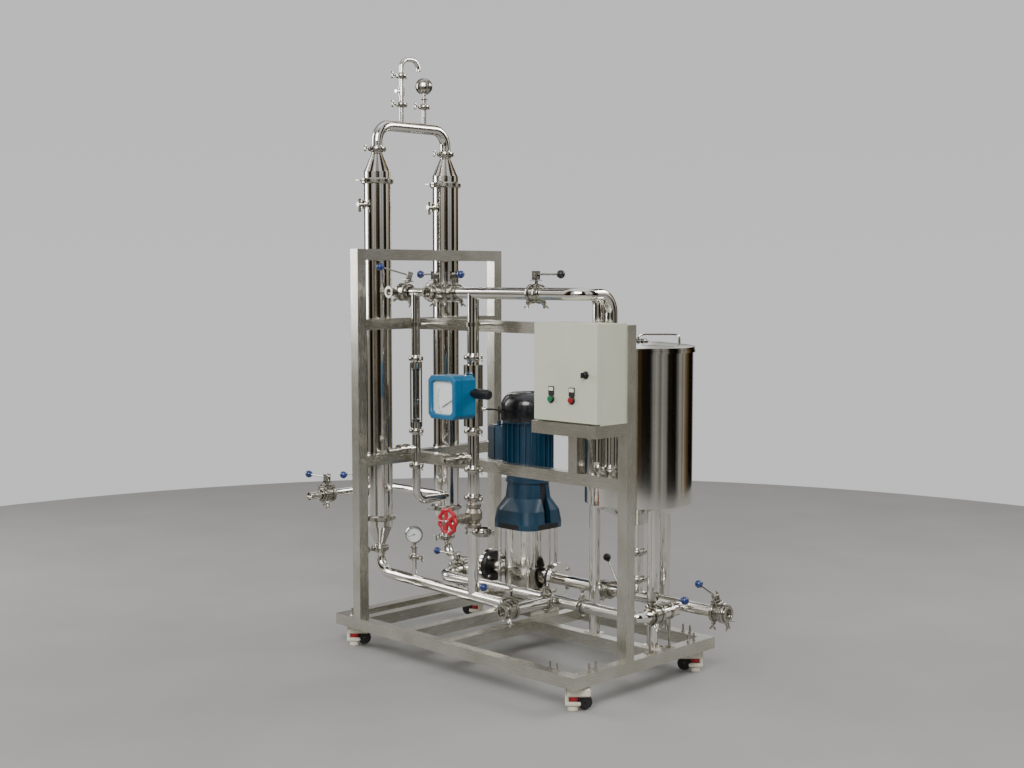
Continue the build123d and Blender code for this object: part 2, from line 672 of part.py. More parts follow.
def makeTank():
    axis = (tankX, tankY)
    shell = rodTo(axis + (tankLow,), axis + (tankTop,), tankR) - rodTo(axis + (tankLow,), axis + (tankTop,), tankR - tankWall)
    rim = rodTo(axis + (tankTop - 12,), axis + (tankTop,), tankR + rimOut) - rodTo(axis + (tankTop - 12,), axis + (tankTop,), tankR - 1)
    put("tank_shell", [shell + rim])
    w = tankWall
    wide = pipeR + 2
    cone = [(wide, outletTop), (tankR, tankLow), (tankR - w, tankLow), (wide - w, outletTop + w * 0.9)]
    put("tank_cone", [Pos(tankX, tankY, 0) * spun(cone)])
    lidZ = tankTop + clampSlack
    lid = [(0, lidZ), (tankR + rimOut, lidZ), (tankR + rimOut, lidZ + 10), (tankR - 14, lidZ + 14), (120, lidZ + 24), (0, lidZ + 28)]
    handle = route([(-46, 0, lidZ + 22), (-46, 0, lidZ + 62), (46, 0, lidZ + 62), (46, 0, lidZ + 22)], 6, 16)
    bail = handle[0] + handle[1] + handle[2] + elbows.pop() + elbows.pop()
    put("tank_lid", [Pos(tankX, tankY, 0) * (spun(lid) + Rot(0, 0, -35) * bail)])
    outer = spun([(0, outletTop - 60), (wide, outletTop), (tankR, tankLow), (tankR, tankTop), (0, tankTop)])
    legs = []
    for turn in (90, 210, 330):
        x = tankX + legReach * math.cos(math.radians(turn))
        y = tankY + legReach * math.sin(math.radians(turn))
        leg = rod((x, y, baseTop + footThick), up, tankLow - baseTop, legR) - Pos(tankX, tankY, 0) * outer
        legs.append(leg + box(x - 40, y - 22, baseTop, x + 40, y + 22, baseTop + footThick))
    put("tank_legs", legs)


# Butterfly valve, its pipe along X and its stem up, with both clamps
def valveBody(open_end):
    h = valveHalf
    disc = Rot(0, 90, 0) * spun([(0, -12), (36, -12), (36, 12), (0, 12)])
    shape = disc
    for s in (-1, 1):
        ring = spun([(0, 12), (clampR - 8, 12), (clampR, 15), (clampR, 24), (clampR - 8, h), (0, h)])
        shape = shape + Rot(0, 90 * s, 0) * ring
    shape = shape + rod((0, 0, 30), up, leverRise - 54, 11) + rod((0, 0, leverRise - 24), up, 30, stemPinR)
    if open_end:
        end = spun([(0, h), (pipeR, h), (pipeR, h + ferruleLong - 6), (32, h + ferruleLong - 3), (32, h + ferruleLong), (0, h + ferruleLong)])
        shape = shape + Rot(0, 90 * open_end, 0) * end
        shape = shape - Rot(0, 90 * open_end, 0) * (Pos(0, 0, h + 10) * Cylinder(pipeR - 3, 20))
    return shape


# Lever with a blind hub over the stem's pin and a ball on its arm
def leverShape(turn):
    low = leverRise - 23.5
    hub = rod((0, 0, low), up, 39, hubR) - rod((0, 0, low - 1), up, 31.5, stemPinR + pinSlack)
    arm = rod((hubR - 3, 0, leverRise), (1, 0, 0), leverArm - hubR - 6, 4)
    ball = Pos(leverArm, 0, leverRise) * Sphere(ballR)
    return Rot(0, 0, turn) * (hub + arm + ball)


# Name, place, pipe direction, stem lean in degrees, rest turn of the lever, open end
valves = [
    ("header_left", (headerLeftX + 53, lineY, headerZ), (1, 0, 0), -20, -125, 0),
    ("header_front", (crossX, lineY - 27 - valveHalf, headerZ), (0, 1, 0), 0, 75, -1),
    ("header_middle", (crossX + 62, lineY, headerZ), (1, 0, 0), 0, -30, 0),
    ("header_right", (headerRightX, lineY, headerZ), (1, 0, 0), 0, 0, 0),
    ("branch_outer", (branchX, branchOuterY, lineAEnd), (0, 1, 0), 0, 90, 0),
    ("branch_inner", (branchX, branchInnerY, lineAEnd), (0, 1, 0), 0, 180, 0),
    ("outlet", (outletX, outletValveY, lowZ), (0, 1, 0), 0, 90, 0),
    ("drain", (drainX, lineY - 27 - valveHalf, lowZ), (0, 1, 0), 0, 97, -1),
    ("far_end", (farValveX, pumpY, portZ), (1, 0, 0), 20, 155, 0),
    ("back_run_end", (endLineX, endValveY, lowZ), (0, 1, 0), 0, -80, 0),
    ("pump_suction", (suctionValveX, pumpY, portZ), (1, 0, 0), -90, -120, 0),
]


def stemWay(pipe, lean):
    a = math.radians(lean)
    side = Vector(*pipe).cross(Vector(0, 0, 1))
    return Vector(0, 0, 1) * math.cos(a) + side * math.sin(a)


def makeValves():
    bodies = []
    for name, at, pipe, lean, turn, opening in valves:
        stem = stemWay(pipe, lean)
        bodies.append(place(valveBody(opening), at, pipe, stem))
        put("lever_" + name, [place(leverShape(turn), at, pipe, stem)])
    at = (headerLeftX, lineY - 34, headerZ)
    ferrule = spun([(0, 0), (smallR, 0), (smallR, 12), (27, 16), (27, 20), (0, 20)]) - Pos(0, 0, 12) * Cylinder(smallR - 3, 18)
    bodies.append(alongZ(ferrule, at, (0, -1, 0)))
    end = spun([(0, 0), (pipeR, 0), (pipeR, 10), (32, 14), (32, 18), (0, 18)]) - Pos(0, 0, 10) * Cylinder(pipeR - boreWall, 30)
    bodies.append(alongZ(end, (farEndX - ferruleLong, pumpY, portZ), (1, 0, 0)))
    put("valve_bodies", bodies)


# Small sampling cocks on the housings and the two instrument lines
def makeSampleValves():
    cocks = []
    for y in (housingFrontY, housingBackY):
        cock = rod((0, 0, 0), up, 16, 11) + rod((0, 0, 16), up, 16, 20) + rod((0, 0, 32), up, 22, 10)
        cock = cock + rod((0, -34, 44), (0, 1, 0), 60, 8)
        base = rod((0, 0, -20), up, 20, 11)
        whole = Location(Plane(origin=(housingX, y - housingR, cockZ), x_dir=(1, 0, 0), z_dir=(0, -1, 0))) * (cock + base)
        cocks.append(whole - rod((housingX, y, 1900), up, 300, housingR + clampSlack))
    for x, z in ((lineAX, sampleZ), (lineBX, sampleZ - 7)):
        cock = rod((0, 0, 0), up, 20, 25) + rod((0, 0, 20), up, 16, 18) + rod((0, 0, 36), up, 20, 25)
        cock = cock + taper((0, 0, 56), up, 60, 13, 9) - rod((0, 0, 100), up, 30, 7)
        cocks.append(Location(Plane(origin=(x, lineY - 50, z), x_dir=(1, 0, 0), z_dir=(0, -1, 0))) * cock)
    put("sample_valves", cocks)


# Hangers from the rails and stands on the end beam
def makeSupports():
    parts = []
    for x, z, r in ((lineAX, 1491, smallR), (lineBX, 1501, pipeR)):
        band = spun([(r + clampSlack, -9), (r + 7, -9), (r + 7, 9), (r + clampSlack, 9)])
        arm = rodTo((0, r + 3, 0), (0, sidePlaneY - lineY, 0), 7)
        parts.append(Pos(x, lineY, z) * (band + arm - Cylinder(r + clampSlack, 40)))
    for y in (endValveY - 37, endValveY + 91):
        foot = endLineX + 6
        stand = box(foot - 18, y - 16, baseTop, foot + 18, y + 16, baseTop + 5)
        stand = stand + rod((foot, y, baseTop), up, lowZ - baseTop - 10, 5)
        saddle = rod((endLineX, y - 4, lowZ), (0, 1, 0), 8, pipeR + 7)
        parts.append(stand + saddle - rod((endLineX, y - 40, lowZ), (0, 1, 0), 80, pipeR + clampSlack))
    put("pipe_supports", parts)


# Cable from the meter tube's sensor to the motor's terminal box: it sags between two soft turns at each end
def makeCable():
    out = (meterR + sensorOut) * math.cos(math.radians(45))
    start = (lineBX + out, lineY + out, sensorZ)
    end = (glandX, glandY, terminalHigh + glandHigh)
    points = [start, (lineBX + 64, lineY + 64, sensorZ), (lineBX + 65, lineY + 101, sensorZ - 9),
              (lineBX + 22, lineY + 147, sensorZ - 21)]
    for part, sag in ((0.25, 33), (0.5, 40), (0.75, 42)):
        x = lineBX + 22 + part * (glandX + 58 - lineBX - 22)
        y = lineY + 147 + part * (glandY - 51 - lineY - 147)
        points.append((x, y, sensorZ - sag))
    points = points + [(glandX + 58, glandY - 51, sensorZ - 36), (glandX + 24, glandY - 26, sensorZ - 28),
                       (glandX, glandY, sensorZ - 56), end]
    radii = []
    for before, here, after in zip(points, points[1:], points[2:]):
        a = Vector(*here) - Vector(*before)
        b = Vector(*after) - Vector(*here)
        radii.append(0.45 * min(a.length, b.length) / math.tan(math.radians(a.get_angle(b)) / 2))
    print("cable radii", [round(r) for r in radii])
    print("cable points", [tuple(round(c, 1) for c in p) for p in points])
    path = FilletPolyline(*points, radius=radii)
    print("cable length", round(path.length))
    put("meter_cable", [sweep(Plane(origin=start, z_dir=path % 0) * Circle(cableR), path=path)])


# Levelling castors: swivelling body with a screw foot, and a wheel beside it
castors = [("front_left", -1, -1, 45), ("front_right", 1, -1, 45), ("back_left", -1, 1, 200), ("back_right", 1, 1, 225)]


def castorAt(sx, sy):
    return (sx * (xEnd - castorInset), sy * (yEnd - castorInset))


def makeCastors():
    for name, sx, sy, turn in castors:
        x, y = castorAt(sx, sy)
        outline = make_face(Polyline((-30, -30), (10, -30), (72, -24), (72, 24), (10, 30), (-30, 30), close=True))
        top = baseUnder - plateThick - castorSlack
        body = extrude(Pos(0, 0, 34) * outline, amount=top - 34, taper=7)
        body = body - Pos(50, 0, 46) * Box(72, 27, 84) - Pos(-16, 0, 44) * Box(34, 70, 16)
        foot = spun([(0, 0), (22, 0), (22, 8), (15, 14), (7, 14), (7, 36), (15, 36), (15, 50), (7, 50), (7, 60), (0, 60)])
        axle = rodTo((46, -14, 34), (46, 14, 34), 4)
        body = body + foot + axle + rodTo((0, 0, 60), (0, 0, top), 12)
        wheel = rodTo((46, -11, 34), (46, 11, 34), 30) - rodTo((46, -20, 34), (46, 20, 34), 4.06)
        here = Pos(x, y, 0) * Rot(0, 0, turn)
        put("castor_" + name, [here * body])
        put("castor_wheel_" + name, [here * wheel])


makeFrame()
makePortal()
makeCabinet()
neckLow, neckHigh = makeHousings()
makeCrossover(neckHigh)
makeFeed(neckLow)
makeHeader()
makeLineA()
makeLineB()
makeControlValve()
makeLowRuns(neckLow)
makePump()
makeLantern()
makeMotor()
makeTank()
makeValves()
makeSampleValves()
makeSupports()
makeCable()
makeCastors()
put("pipe_elbows", elbows)
put("pipe_clamps", clamps)
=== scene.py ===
import bpy
import bmesh
import math
import numpy as np
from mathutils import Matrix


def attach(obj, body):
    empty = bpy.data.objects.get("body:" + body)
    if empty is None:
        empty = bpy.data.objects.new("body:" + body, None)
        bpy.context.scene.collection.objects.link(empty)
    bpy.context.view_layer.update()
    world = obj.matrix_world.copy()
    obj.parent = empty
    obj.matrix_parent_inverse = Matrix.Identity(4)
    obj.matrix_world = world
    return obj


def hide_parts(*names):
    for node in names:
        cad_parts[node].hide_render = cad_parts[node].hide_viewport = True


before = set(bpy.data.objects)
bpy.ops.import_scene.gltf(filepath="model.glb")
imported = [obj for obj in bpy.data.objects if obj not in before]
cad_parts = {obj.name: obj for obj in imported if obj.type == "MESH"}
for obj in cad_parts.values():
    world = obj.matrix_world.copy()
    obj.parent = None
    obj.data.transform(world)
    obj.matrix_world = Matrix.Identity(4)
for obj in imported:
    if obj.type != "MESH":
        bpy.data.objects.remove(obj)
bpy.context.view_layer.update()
print("frame loaded")

# The CAD part is laid out about the middle of its base, then moved by this much
shift = np.array([0.023, 0.018, 0.0])


# sRGB hex to linear: each channel is c/12.92 below 0.04045, else ((c + 0.055)/1.055) to the power 2.4
def colour(code):
    channels = [int(code[i:i + 2], 16) / 255 for i in (1, 3, 5)]
    return tuple(c / 12.92 if c <= 0.04045 else ((c + 0.055) / 1.055) ** 2.4 for c in channels) + (1.0,)


# Adds one node; settings go to its fields, values to its inputs, links from other nodes' outputs
def addNode(tree, kind, settings=None, values=None, links=None):
    node = tree.nodes.new("ShaderNode" + kind)
    for field, value in (settings or {}).items():
        setattr(node, field, value)
    for socket, value in (values or {}).items():
        node.inputs[socket].default_value = value
    for socket, source in (links or {}).items():
        tree.links.new(source, node.inputs[socket])
    return node


# Starts a material and gives its node tree and shader with constant values on the shader's sockets
def newMaterial(name, values):
    material = bpy.data.materials.new(name)
    material.use_nodes = True
    tree = material.node_tree
    shader = tree.nodes["Principled BSDF"]
    for socket, value in values.items():
        shader.inputs[socket].default_value = value
    return material, tree, shader


# Noise in object space, stretched by a scale per metre along each axis
def noise(tree, scale, detail):
    place = addNode(tree, "TexCoord").outputs["Object"]
    stretch = addNode(tree, "Mapping", {"vector_type": "POINT"}, {"Scale": scale}, {"Vector": place})
    values = {"Scale": 1.0, "Detail": detail, "Roughness": 0.5}
    pattern = addNode(tree, "TexNoise", values=values, links={"Vector": stretch.outputs["Vector"]})
    return pattern.outputs["Fac"]


# Blends two colours by a factor between two limits of a pattern
def ramp(tree, source, low, high, first, second):
    node = addNode(tree, "ValToRGB", links={"Fac": source})
    node.color_ramp.elements[0].position = low
    node.color_ramp.elements[1].position = high
    node.color_ramp.elements[0].color = first
    node.color_ramp.elements[1].color = second
    return node.outputs["Color"]


# Straight-line change of a pattern from 0..1 to a low..high value
def span(tree, source, low, high):
    node = addNode(tree, "MapRange", values={"To Min": low, "To Max": high}, links={"Value": source})
    return node.outputs["Result"]


# Height pattern as a bump: strength is its share, distance its depth in metres
def bump(tree, shader, height, strength, distance):
    node = addNode(tree, "Bump", values={"Strength": strength, "Distance": distance},
                   links={"Height": height})
    tree.links.new(node.outputs["Normal"], shader.inputs["Normal"])


# Brushed stainless: fine lines along one axis change the roughness, faint clouds change the tone
def brushedSteel(name, along, tone, settings):
    material, tree, shader = newMaterial(name, {"Metallic": 1.0})
    fine = [settings["across"]] * 3
    fine[along] = settings["length"]
    lines = noise(tree, fine, 2.0)
    clouds = noise(tree, [settings["cloud"]] * 3, 3.0)
    tree.links.new(ramp(tree, clouds, 0.3, 0.7, colour(tone[0]), colour(tone[1])),
                   shader.inputs["Base Color"])
    tree.links.new(span(tree, lines, settings["gloss"][0], settings["gloss"][1]),
                   shader.inputs["Roughness"])
    bump(tree, shader, lines, settings["depth"], 0.0002)
    return material


# Clouds of dust per metre on painted and moulded surfaces
dustScale = 6.0


# Painted or moulded surface: orange peel in the bump, slight dust in the tone and the roughness
def paint(name, tone, settings):
    material, tree, shader = newMaterial(name, {"Coat Weight": settings.get("coat", 0.0),
                                                "Coat Roughness": 0.15, "Metallic": 0.0})
    peel = noise(tree, [settings["peel"]] * 3, 2.0)
    clouds = noise(tree, [dustScale] * 3, 4.0)
    tree.links.new(ramp(tree, clouds, 0.3, 0.75, colour(tone[0]), colour(tone[1])),
                   shader.inputs["Base Color"])
    tree.links.new(span(tree, clouds, settings["gloss"][0], settings["gloss"][1]),
                   shader.inputs["Roughness"])
    bump(tree, shader, peel, settings["depth"], 0.0004)
    return material


# Grinding and polishing lines: scales are lines per metre across and along them, and clouds per metre
satin = {"across": 1400.0, "length": 14.0, "cloud": 7.0, "gloss": (0.17, 0.33), "depth": 0.25}
mirror = {"across": 900.0, "length": 6.0, "cloud": 5.0, "gloss": (0.05, 0.15), "depth": 0.04}
dull = {"across": 500.0, "length": 500.0, "cloud": 30.0, "gloss": (0.1, 0.24), "depth": 0.08}
sandCast = {"across": 420.0, "length": 420.0, "cloud": 24.0, "gloss": (0.34, 0.5), "depth": 0.5}
satinTone = ("#BDBAAE", "#D3D1C8")
mirrorTone = ("#D8D6D0", "#E9E7E1")
# Paints and plastics: the peel's scale per metre, its depth, the roughness range and a clear coat
powder = {"peel": 900.0, "depth": 0.2, "gloss": (0.38, 0.5)}
enamel = {"peel": 700.0, "depth": 0.12, "gloss": (0.28, 0.4), "coat": 0.3}
thickEnamel = {"peel": 500.0, "depth": 0.3, "gloss": (0.3, 0.45), "coat": 0.35}
moulded = {"peel": 1200.0, "depth": 0.2, "gloss": (0.35, 0.5)}
ballPlastic = {"peel": 300.0, "depth": 0.02, "gloss": (0.12, 0.2), "coat": 0.6}
wheelPlastic = {"peel": 500.0, "depth": 0.05, "gloss": (0.25, 0.35), "coat": 0.3}
nylon = {"peel": 400.0, "depth": 0.1, "gloss": (0.4, 0.55)}
softRubber = {"peel": 800.0, "depth": 0.3, "gloss": (0.6, 0.8)}
buttonPlastic = {"peel": 300.0, "depth": 0.02, "gloss": (0.2, 0.3), "coat": 0.4}
lidPaint = {"peel": 500.0, "depth": 0.2, "gloss": (0.35, 0.5)}
plateCard = {"peel": 200.0, "depth": 0.01, "gloss": (0.4, 0.5)}
cowlGloss = {"peel": 500.0, "depth": 0.05, "gloss": (0.16, 0.26), "coat": 0.5}
clearGlass = {"Transmission Weight": 1.0, "Roughness": 0.04, "IOR": 1.47, "Base Color": colour("#E6ECEA")}

look = {
    # Ground tube of the frame: soft streaks that run along the tube
    "satinX": brushedSteel("satin_steel_x", 0, satinTone, satin),
    "satinY": brushedSteel("satin_steel_y", 1, satinTone, satin),
    "satinZ": brushedSteel("satin_steel_z", 2, satinTone, satin),
    # Polished tube and sheet: sharp bright and dark bands from the room
    "mirrorZ": brushedSteel("polished_steel_upright", 2, mirrorTone, mirror),
    "mirrorX": brushedSteel("polished_steel_level", 0, mirrorTone, mirror),
    # Tumbled castings: darker than tube, with small broken highlights
    "castSteel": brushedSteel("cast_stainless", 0, ("#9C9990", "#BDBAB1"), dull),
    # Sand casting: grainy and nearly matt, with a warm grey tone
    "castBody": brushedSteel("sand_cast_stainless", 0, ("#8F8A7E", "#AEA99E"), sandCast),
    # Powder coat: an even grey with a slight green, and a low sheen
    "cabinet": paint("cabinet_grey_paint", ("#BCC0AC", "#C5C8B5"), powder),
    # Sprayed enamel: a clear colour with a gentle shine
    "meterBlue": paint("meter_blue_enamel", ("#07587E", "#0C6E98"), enamel),
    "pumpBlue": paint("pump_dark_blue_enamel", ("#0B2D41", "#124460"), thickEnamel),
    # Moulded plastics: grained black, glossy balls and buttons, a shiny cowl and red wheel
    "black": paint("black_plastic", ("#111214", "#1B1C1F"), moulded),
    "glossBlack": paint("gloss_black_cowl", ("#101215", "#191C20"), cowlGloss),
    "knob": paint("dark_blue_knob", ("#102A63", "#16377C"), ballPlastic),
    "red": paint("red_plastic", ("#A01020", "#B81629"), wheelPlastic),
    "green": paint("green_button", ("#10663A", "#167A46"), buttonPlastic),
    "redButton": paint("dark_red_button", ("#7E141A", "#931B20"), buttonPlastic),
    # Nylon and rubber of the castors and the cable: warm and dull, then black without shine
    "cream": paint("cream_nylon", ("#D8D2C0", "#E6E1D2"), nylon),
    "rubber": paint("black_rubber", ("#151515", "#212121"), softRubber),
    # Painted lid, printed plates and dial card: flat tones that catch little light
    "darkGrey": paint("dark_grey_lid", ("#2E3338", "#3A4046"), lidPaint),
    "ivory": paint("ivory_plate", ("#D9D5C4", "#E4E0D0"), plateCard),
    "dial": paint("pale_dial", ("#DDE4E0", "#E6ECE8"), plateCard),
    # Borosilicate tube: clear, with bright edges
    "clear": newMaterial("clear_tube_glass", clearGlass)[0],
}
print("materials made")

dressed = {
    "satinX": ["base_long_beams", "side_rails"],
    "satinY": ["base_cross_beams", "cross_rails"],
    "satinZ": ["upright_posts"],
    "mirrorZ": ["membrane_housings", "line_a_pipes", "line_b_pipes", "tank_shell", "tank_cone", "tank_legs",
                "pump_sleeve", "crossover_pipe", "tank_lid"],
    "mirrorX": ["header_pipes", "feed_pipes", "back_run_pipes", "side_branch_pipes", "discharge_pipes",
                "suction_pipes", "pipe_elbows"],
    "castSteel": ["housing_clamps", "pipe_clamps", "pipe_supports", "pressure_gauges", "valve_bodies",
                  "sample_valves", "pump_base"],
    "cabinet": ["control_cabinet", "cabinet_door"],
    "black": ["door_controls", "port_collars", "fan_cowl"],
    "meterBlue": ["flow_meter"],
    "pumpBlue": ["pump_lantern", "motor_body"],
    "castBody": ["control_valve"],
    "red": ["handwheel"],
    "clear": ["rotameter_glass"],
}
for name, nodes in dressed.items():
    for node in nodes:
        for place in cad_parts[node].material_slots:
            place.material = look[name]
for node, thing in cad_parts.items():
    kinds = {"lever_": "castSteel", "castor_wheel": "rubber", "castor_": "cream", "meter_cable": "rubber"}
    for start, name in kinds.items():
        if node.startswith(start):
            for place in thing.material_slots:
                place.material = look[name]
            break
print("CAD nodes dressed")


# Points and faces of a shape turned about Z: each (radius, height) of the profile becomes a ring
def turned(profile, sides=32, closed=False):
    profile = np.array(profile, float)
    angle = np.arange(sides) * 2 * math.pi / sides
    circle = np.column_stack([np.cos(angle), np.sin(angle)])
    points = np.concatenate([np.column_stack([circle * r, np.full(sides, h)]) for r, h in profile])
    grid = np.arange(len(points)).reshape(-1, sides)
    if closed:
        grid = np.vstack([grid, grid[:1]])
    after = np.roll(grid, -1, 1)
    faces = np.stack([grid[:-1], after[:-1], after[1:], grid[1:]], -1).reshape(-1, 4)
    return points, faces


# Points and faces of a tube along a path: every ring stands square to the path, with its own radius
def tube(path, radius, sides=16, flat=1.0):
    path = np.array(path, float)
    way = np.gradient(path, axis=0)
    way /= np.linalg.norm(way, axis=1)[:, None]
    least = np.eye(3)[np.argmin(np.abs(way).sum(0))]
    across = np.cross(way, least)
    across /= np.linalg.norm(across, axis=1)[:, None]
    third = np.cross(way, across)
    radius = np.broadcast_to(np.asarray(radius, float), (len(path),))
    angle = np.arange(sides) * 2 * math.pi / sides
    ring = (across[:, None] * np.cos(angle)[None, :, None]
            + flat * third[:, None] * np.sin(angle)[None, :, None])
    points = path[:, None] + ring * radius[:, None, None]
    points = np.concatenate([np.repeat(path[:1], sides, 0), points.reshape(-1, 3),
                             np.repeat(path[-1:], sides, 0)])
    grid = np.arange(len(points)).reshape(-1, sides)
    after = np.roll(grid, -1, 1)
    faces = np.stack([grid[:-1], after[:-1], after[1:], grid[1:]], -1).reshape(-1, 4)
    return points, faces


# Block with cut edges: three insets of one box share 24 corners, and six sides, twelve strips and
# eight tips close it
def block(size, cut):
    half = np.array(size, float) / 2
    corner = np.array([[x, y, z] for x in (-1, 1) for y in (-1, 1) for z in (-1, 1)], float)
    points = np.concatenate([corner * (half - cut * (1 - np.eye(3)[k])) for k in range(3)])
    faces = []
    sides = {0: (0, 1, 3, 2), 1: (0, 1, 5, 4), 2: (0, 2, 6, 4)}
    step = {0: 4, 1: 2, 2: 1}
    for k, loop in sides.items():
        faces.append([k * 8 + v for v in loop])
        faces.append([k * 8 + v + step[k] for v in loop])
        a, b = [j for j in range(3) if j != k]
        for u in (0, step[a]):
            for v in (0, step[b]):
                faces.append([a * 8 + u + v, a * 8 + u + v + step[k], b * 8 + u + v + step[k],
                              b * 8 + u + v])
    points = np.concatenate([points, points[16:]])
    tips = [[v, 8 + v, 16 + v, 24 + v] for v in range(8)]
    return points, np.array(faces + tips)


# Moves a shape so that its Z runs along one direction and its X towards another, by default the axis
# most across it
def placed(shape, at, along=(0, 0, 1), side=None):
    points, faces = shape
    third = np.array(along, float) / np.linalg.norm(along)
    if side is None:
        side = np.eye(3)[np.argmin(np.abs(third))]
    second = np.cross(third, np.array(side, float))
    second /= np.linalg.norm(second)
    first = np.cross(second, third)
    return points @ np.stack([first, second, third]) + np.array(at, float), faces


# Eight-sided plate with cut corners: each (inset, height) of the profile is one ring of the outline,
# in millimetres
def octagon(wide, high, cut, profile, closed=False):
    x, y = wide / 2, high / 2
    outline = np.array([(x - cut, -y), (x, cut - y), (x, y - cut), (x - cut, y), (cut - x, y),
                        (-x, y - cut), (-x, cut - y), (cut - x, -y)])
    rings = [np.column_stack([outline * (1 - inset / np.array([x, y])), np.full(8, h)])
             for inset, h in profile]
    if not closed:
        rings = [rings[0] * [0, 0, 1]] + rings + [rings[-1] * [0, 0, 1]]
    points = np.concatenate(rings) / 1000
    grid = np.arange(len(points)).reshape(-1, 8)
    if closed:
        grid = np.vstack([grid, grid[:1]])
    after = np.roll(grid, -1, 1)
    return points, np.stack([grid[:-1], after[:-1], after[1:], grid[1:]], -1).reshape(-1, 4)


# One shape from several: each face index is raised by the count of points before it
def joined(shapes):
    starts = np.cumsum([0] + [len(points) for points, faces in shapes])
    points = np.concatenate([points for points, faces in shapes])
    return points, np.concatenate([faces + start for (p, faces), start in zip(shapes, starts)])


# Edges that turn by more than this many degrees stay sharp
sharpEdge = 32


# Makes one object: points at one place are welded, faces without area go, normals turn outward
def piece(name, shapes, material, body, node=None):
    points, faces = joined(shapes)
    mesh = bpy.data.meshes.new(name)
    mesh.vertices.add(len(points))
    mesh.vertices.foreach_set("co", points.astype(np.float32).ravel())
    mesh.loops.add(faces.size)
    mesh.loops.foreach_set("vertex_index", faces.ravel().astype(np.int32))
    mesh.polygons.add(len(faces))
    mesh.polygons.foreach_set("loop_start", np.arange(0, faces.size, 4, dtype=np.int32))
    mesh.update()
    shape = bmesh.new()
    shape.from_mesh(mesh)
    bmesh.ops.remove_doubles(shape, verts=shape.verts, dist=1e-6)
    bmesh.ops.dissolve_degenerate(shape, dist=1e-7, edges=shape.edges)
    bmesh.ops.recalc_face_normals(shape, faces=shape.faces)
    shape.to_mesh(mesh)
    shape.free()
    mesh.polygons.foreach_set("use_smooth", [True] * len(mesh.polygons))
    mesh.set_sharp_from_angle(angle=math.radians(sharpEdge))
    mesh.materials.append(look[material])
    thing = bpy.data.objects.new(name, mesh)
    bpy.context.scene.collection.objects.link(thing)
    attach(thing, body)
    if node:
        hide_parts(node)


# Loose islands of a CAD node: points at one place are merged, then edges pass on the lowest label
# until all agree
def islands(node):
    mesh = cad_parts[node].data
    points = np.empty(len(mesh.vertices) * 3)
    mesh.vertices.foreach_get("co", points)
    edges = np.empty(len(mesh.edges) * 2, dtype=np.int32)
    mesh.edges.foreach_get("vertices", edges)
    places, same = np.unique(np.round(points.reshape(-1, 3), 6), axis=0, return_inverse=True)
    ends = same.ravel()[edges].reshape(-1, 2)
    label = np.arange(len(places))
    while True:
        low = np.minimum(label[ends[:, 0]], label[ends[:, 1]])
        lower = label.copy()
        np.minimum.at(lower, ends[:, 0], low)
        np.minimum.at(lower, ends[:, 1], low)
        if (lower == label).all():
            return [places[label == k] for k in np.unique(label)]
        label = lower[lower]


# A point of the layout, given in millimetres about the middle of the base
def site(x, y, z):
    return np.array([x, y, z], float) / 1000 + shift


# A shape turned from a profile in millimetres, put at a point with its axis along one direction
def spun(profile, sides, at, along=(0, 0, 1), side=None):
    return placed(turned(np.array(profile) / 1000, sides), at, along, side)


# Hexagon bolt from its head's radius and height: six sides, a shank below and a chamfer above
def bolt(head, high):
    profile = [(0, -high), (head * 0.5, -high), (head * 0.5, 0), (head, 0), (head, high * 0.5),
               (head * 0.86, high * 0.62), (0, high * 0.66)]
    return turned(np.array(profile) / 1000, 6)


# Wing nut on a threaded screw: the thread's radius follows a triangle wave, the wings are flattened tubes
def wingScrew(length):
    steps = np.linspace(0, length, 29)
    thread = np.column_stack([2.9 + 0.45 * (np.arange(29) % 2), steps])
    screw = np.vstack([[0, 0], thread, [0, length]]) / 1000
    hub = np.array([(0, length - 12), (6.5, length - 12), (7, length - 9), (5, length),
                    (0, length + 0.5)]) / 1000
    shapes = [turned(screw, 10), turned(hub, 16)]
    along = np.linspace(0, 1, 7)
    for s in (-1, 1):
        path = np.column_stack([s * (3 + 11 * along), 0 * along, length - 8 + 15 * along ** 1.3]) / 1000
        shapes.append(tube(path, np.array([3, 4.2, 5, 5.4, 5.4, 4.6, 2.5]) / 1000, 10, 0.42))
    return joined(shapes)


# Clamp ring: a turned band over a sloped collar, a hinge barrel, two ears and the wing screw between them
def clampParts(outer, half, inner, screw, spread=(0, 0, 1)):
    ring = [(inner, -half * 0.72), (outer - 6, -half), (outer - 1.4, -half * 0.86), (outer, -half * 0.55),
            (outer, half * 0.55), (outer - 1.4, half * 0.86), (outer - 6, half), (inner, half * 0.72)]
    collar = [(inner - 3, -half - 8), (inner - 1, -half - 8), (inner + 3, -half * 0.8),
              (inner + 3, half * 0.8), (inner - 1, half + 8), (inner - 3, half + 8)]
    shapes = [turned(np.array(ring) / 1000, 40, True), turned(np.array(collar) / 1000, 32, True)]
    size = [0.013, 0.0062, half * 0.0016]
    for y in (-5.6, 5.6):
        shapes.append(placed(block(size, 0.0012), np.array([outer + 4, y, 0]) / 1000))
    shapes.append(placed(block([0.012, 0.015, half * 0.0015], 0.0012), np.array([-outer - 2, 0, 0]) / 1000))
    pin = turned(np.array([(0, -half - 1), (3, -half - 1), (3, half + 1), (0, half + 1)]) / 1000, 12)
    shapes.append(placed(pin, np.array([-outer - 4, 0, 0]) / 1000))
    shapes.append(placed(wingScrew(screw), np.array([outer - 1, 0, 0]) / 1000, (1, 0, 0), spread))
    return joined(shapes)


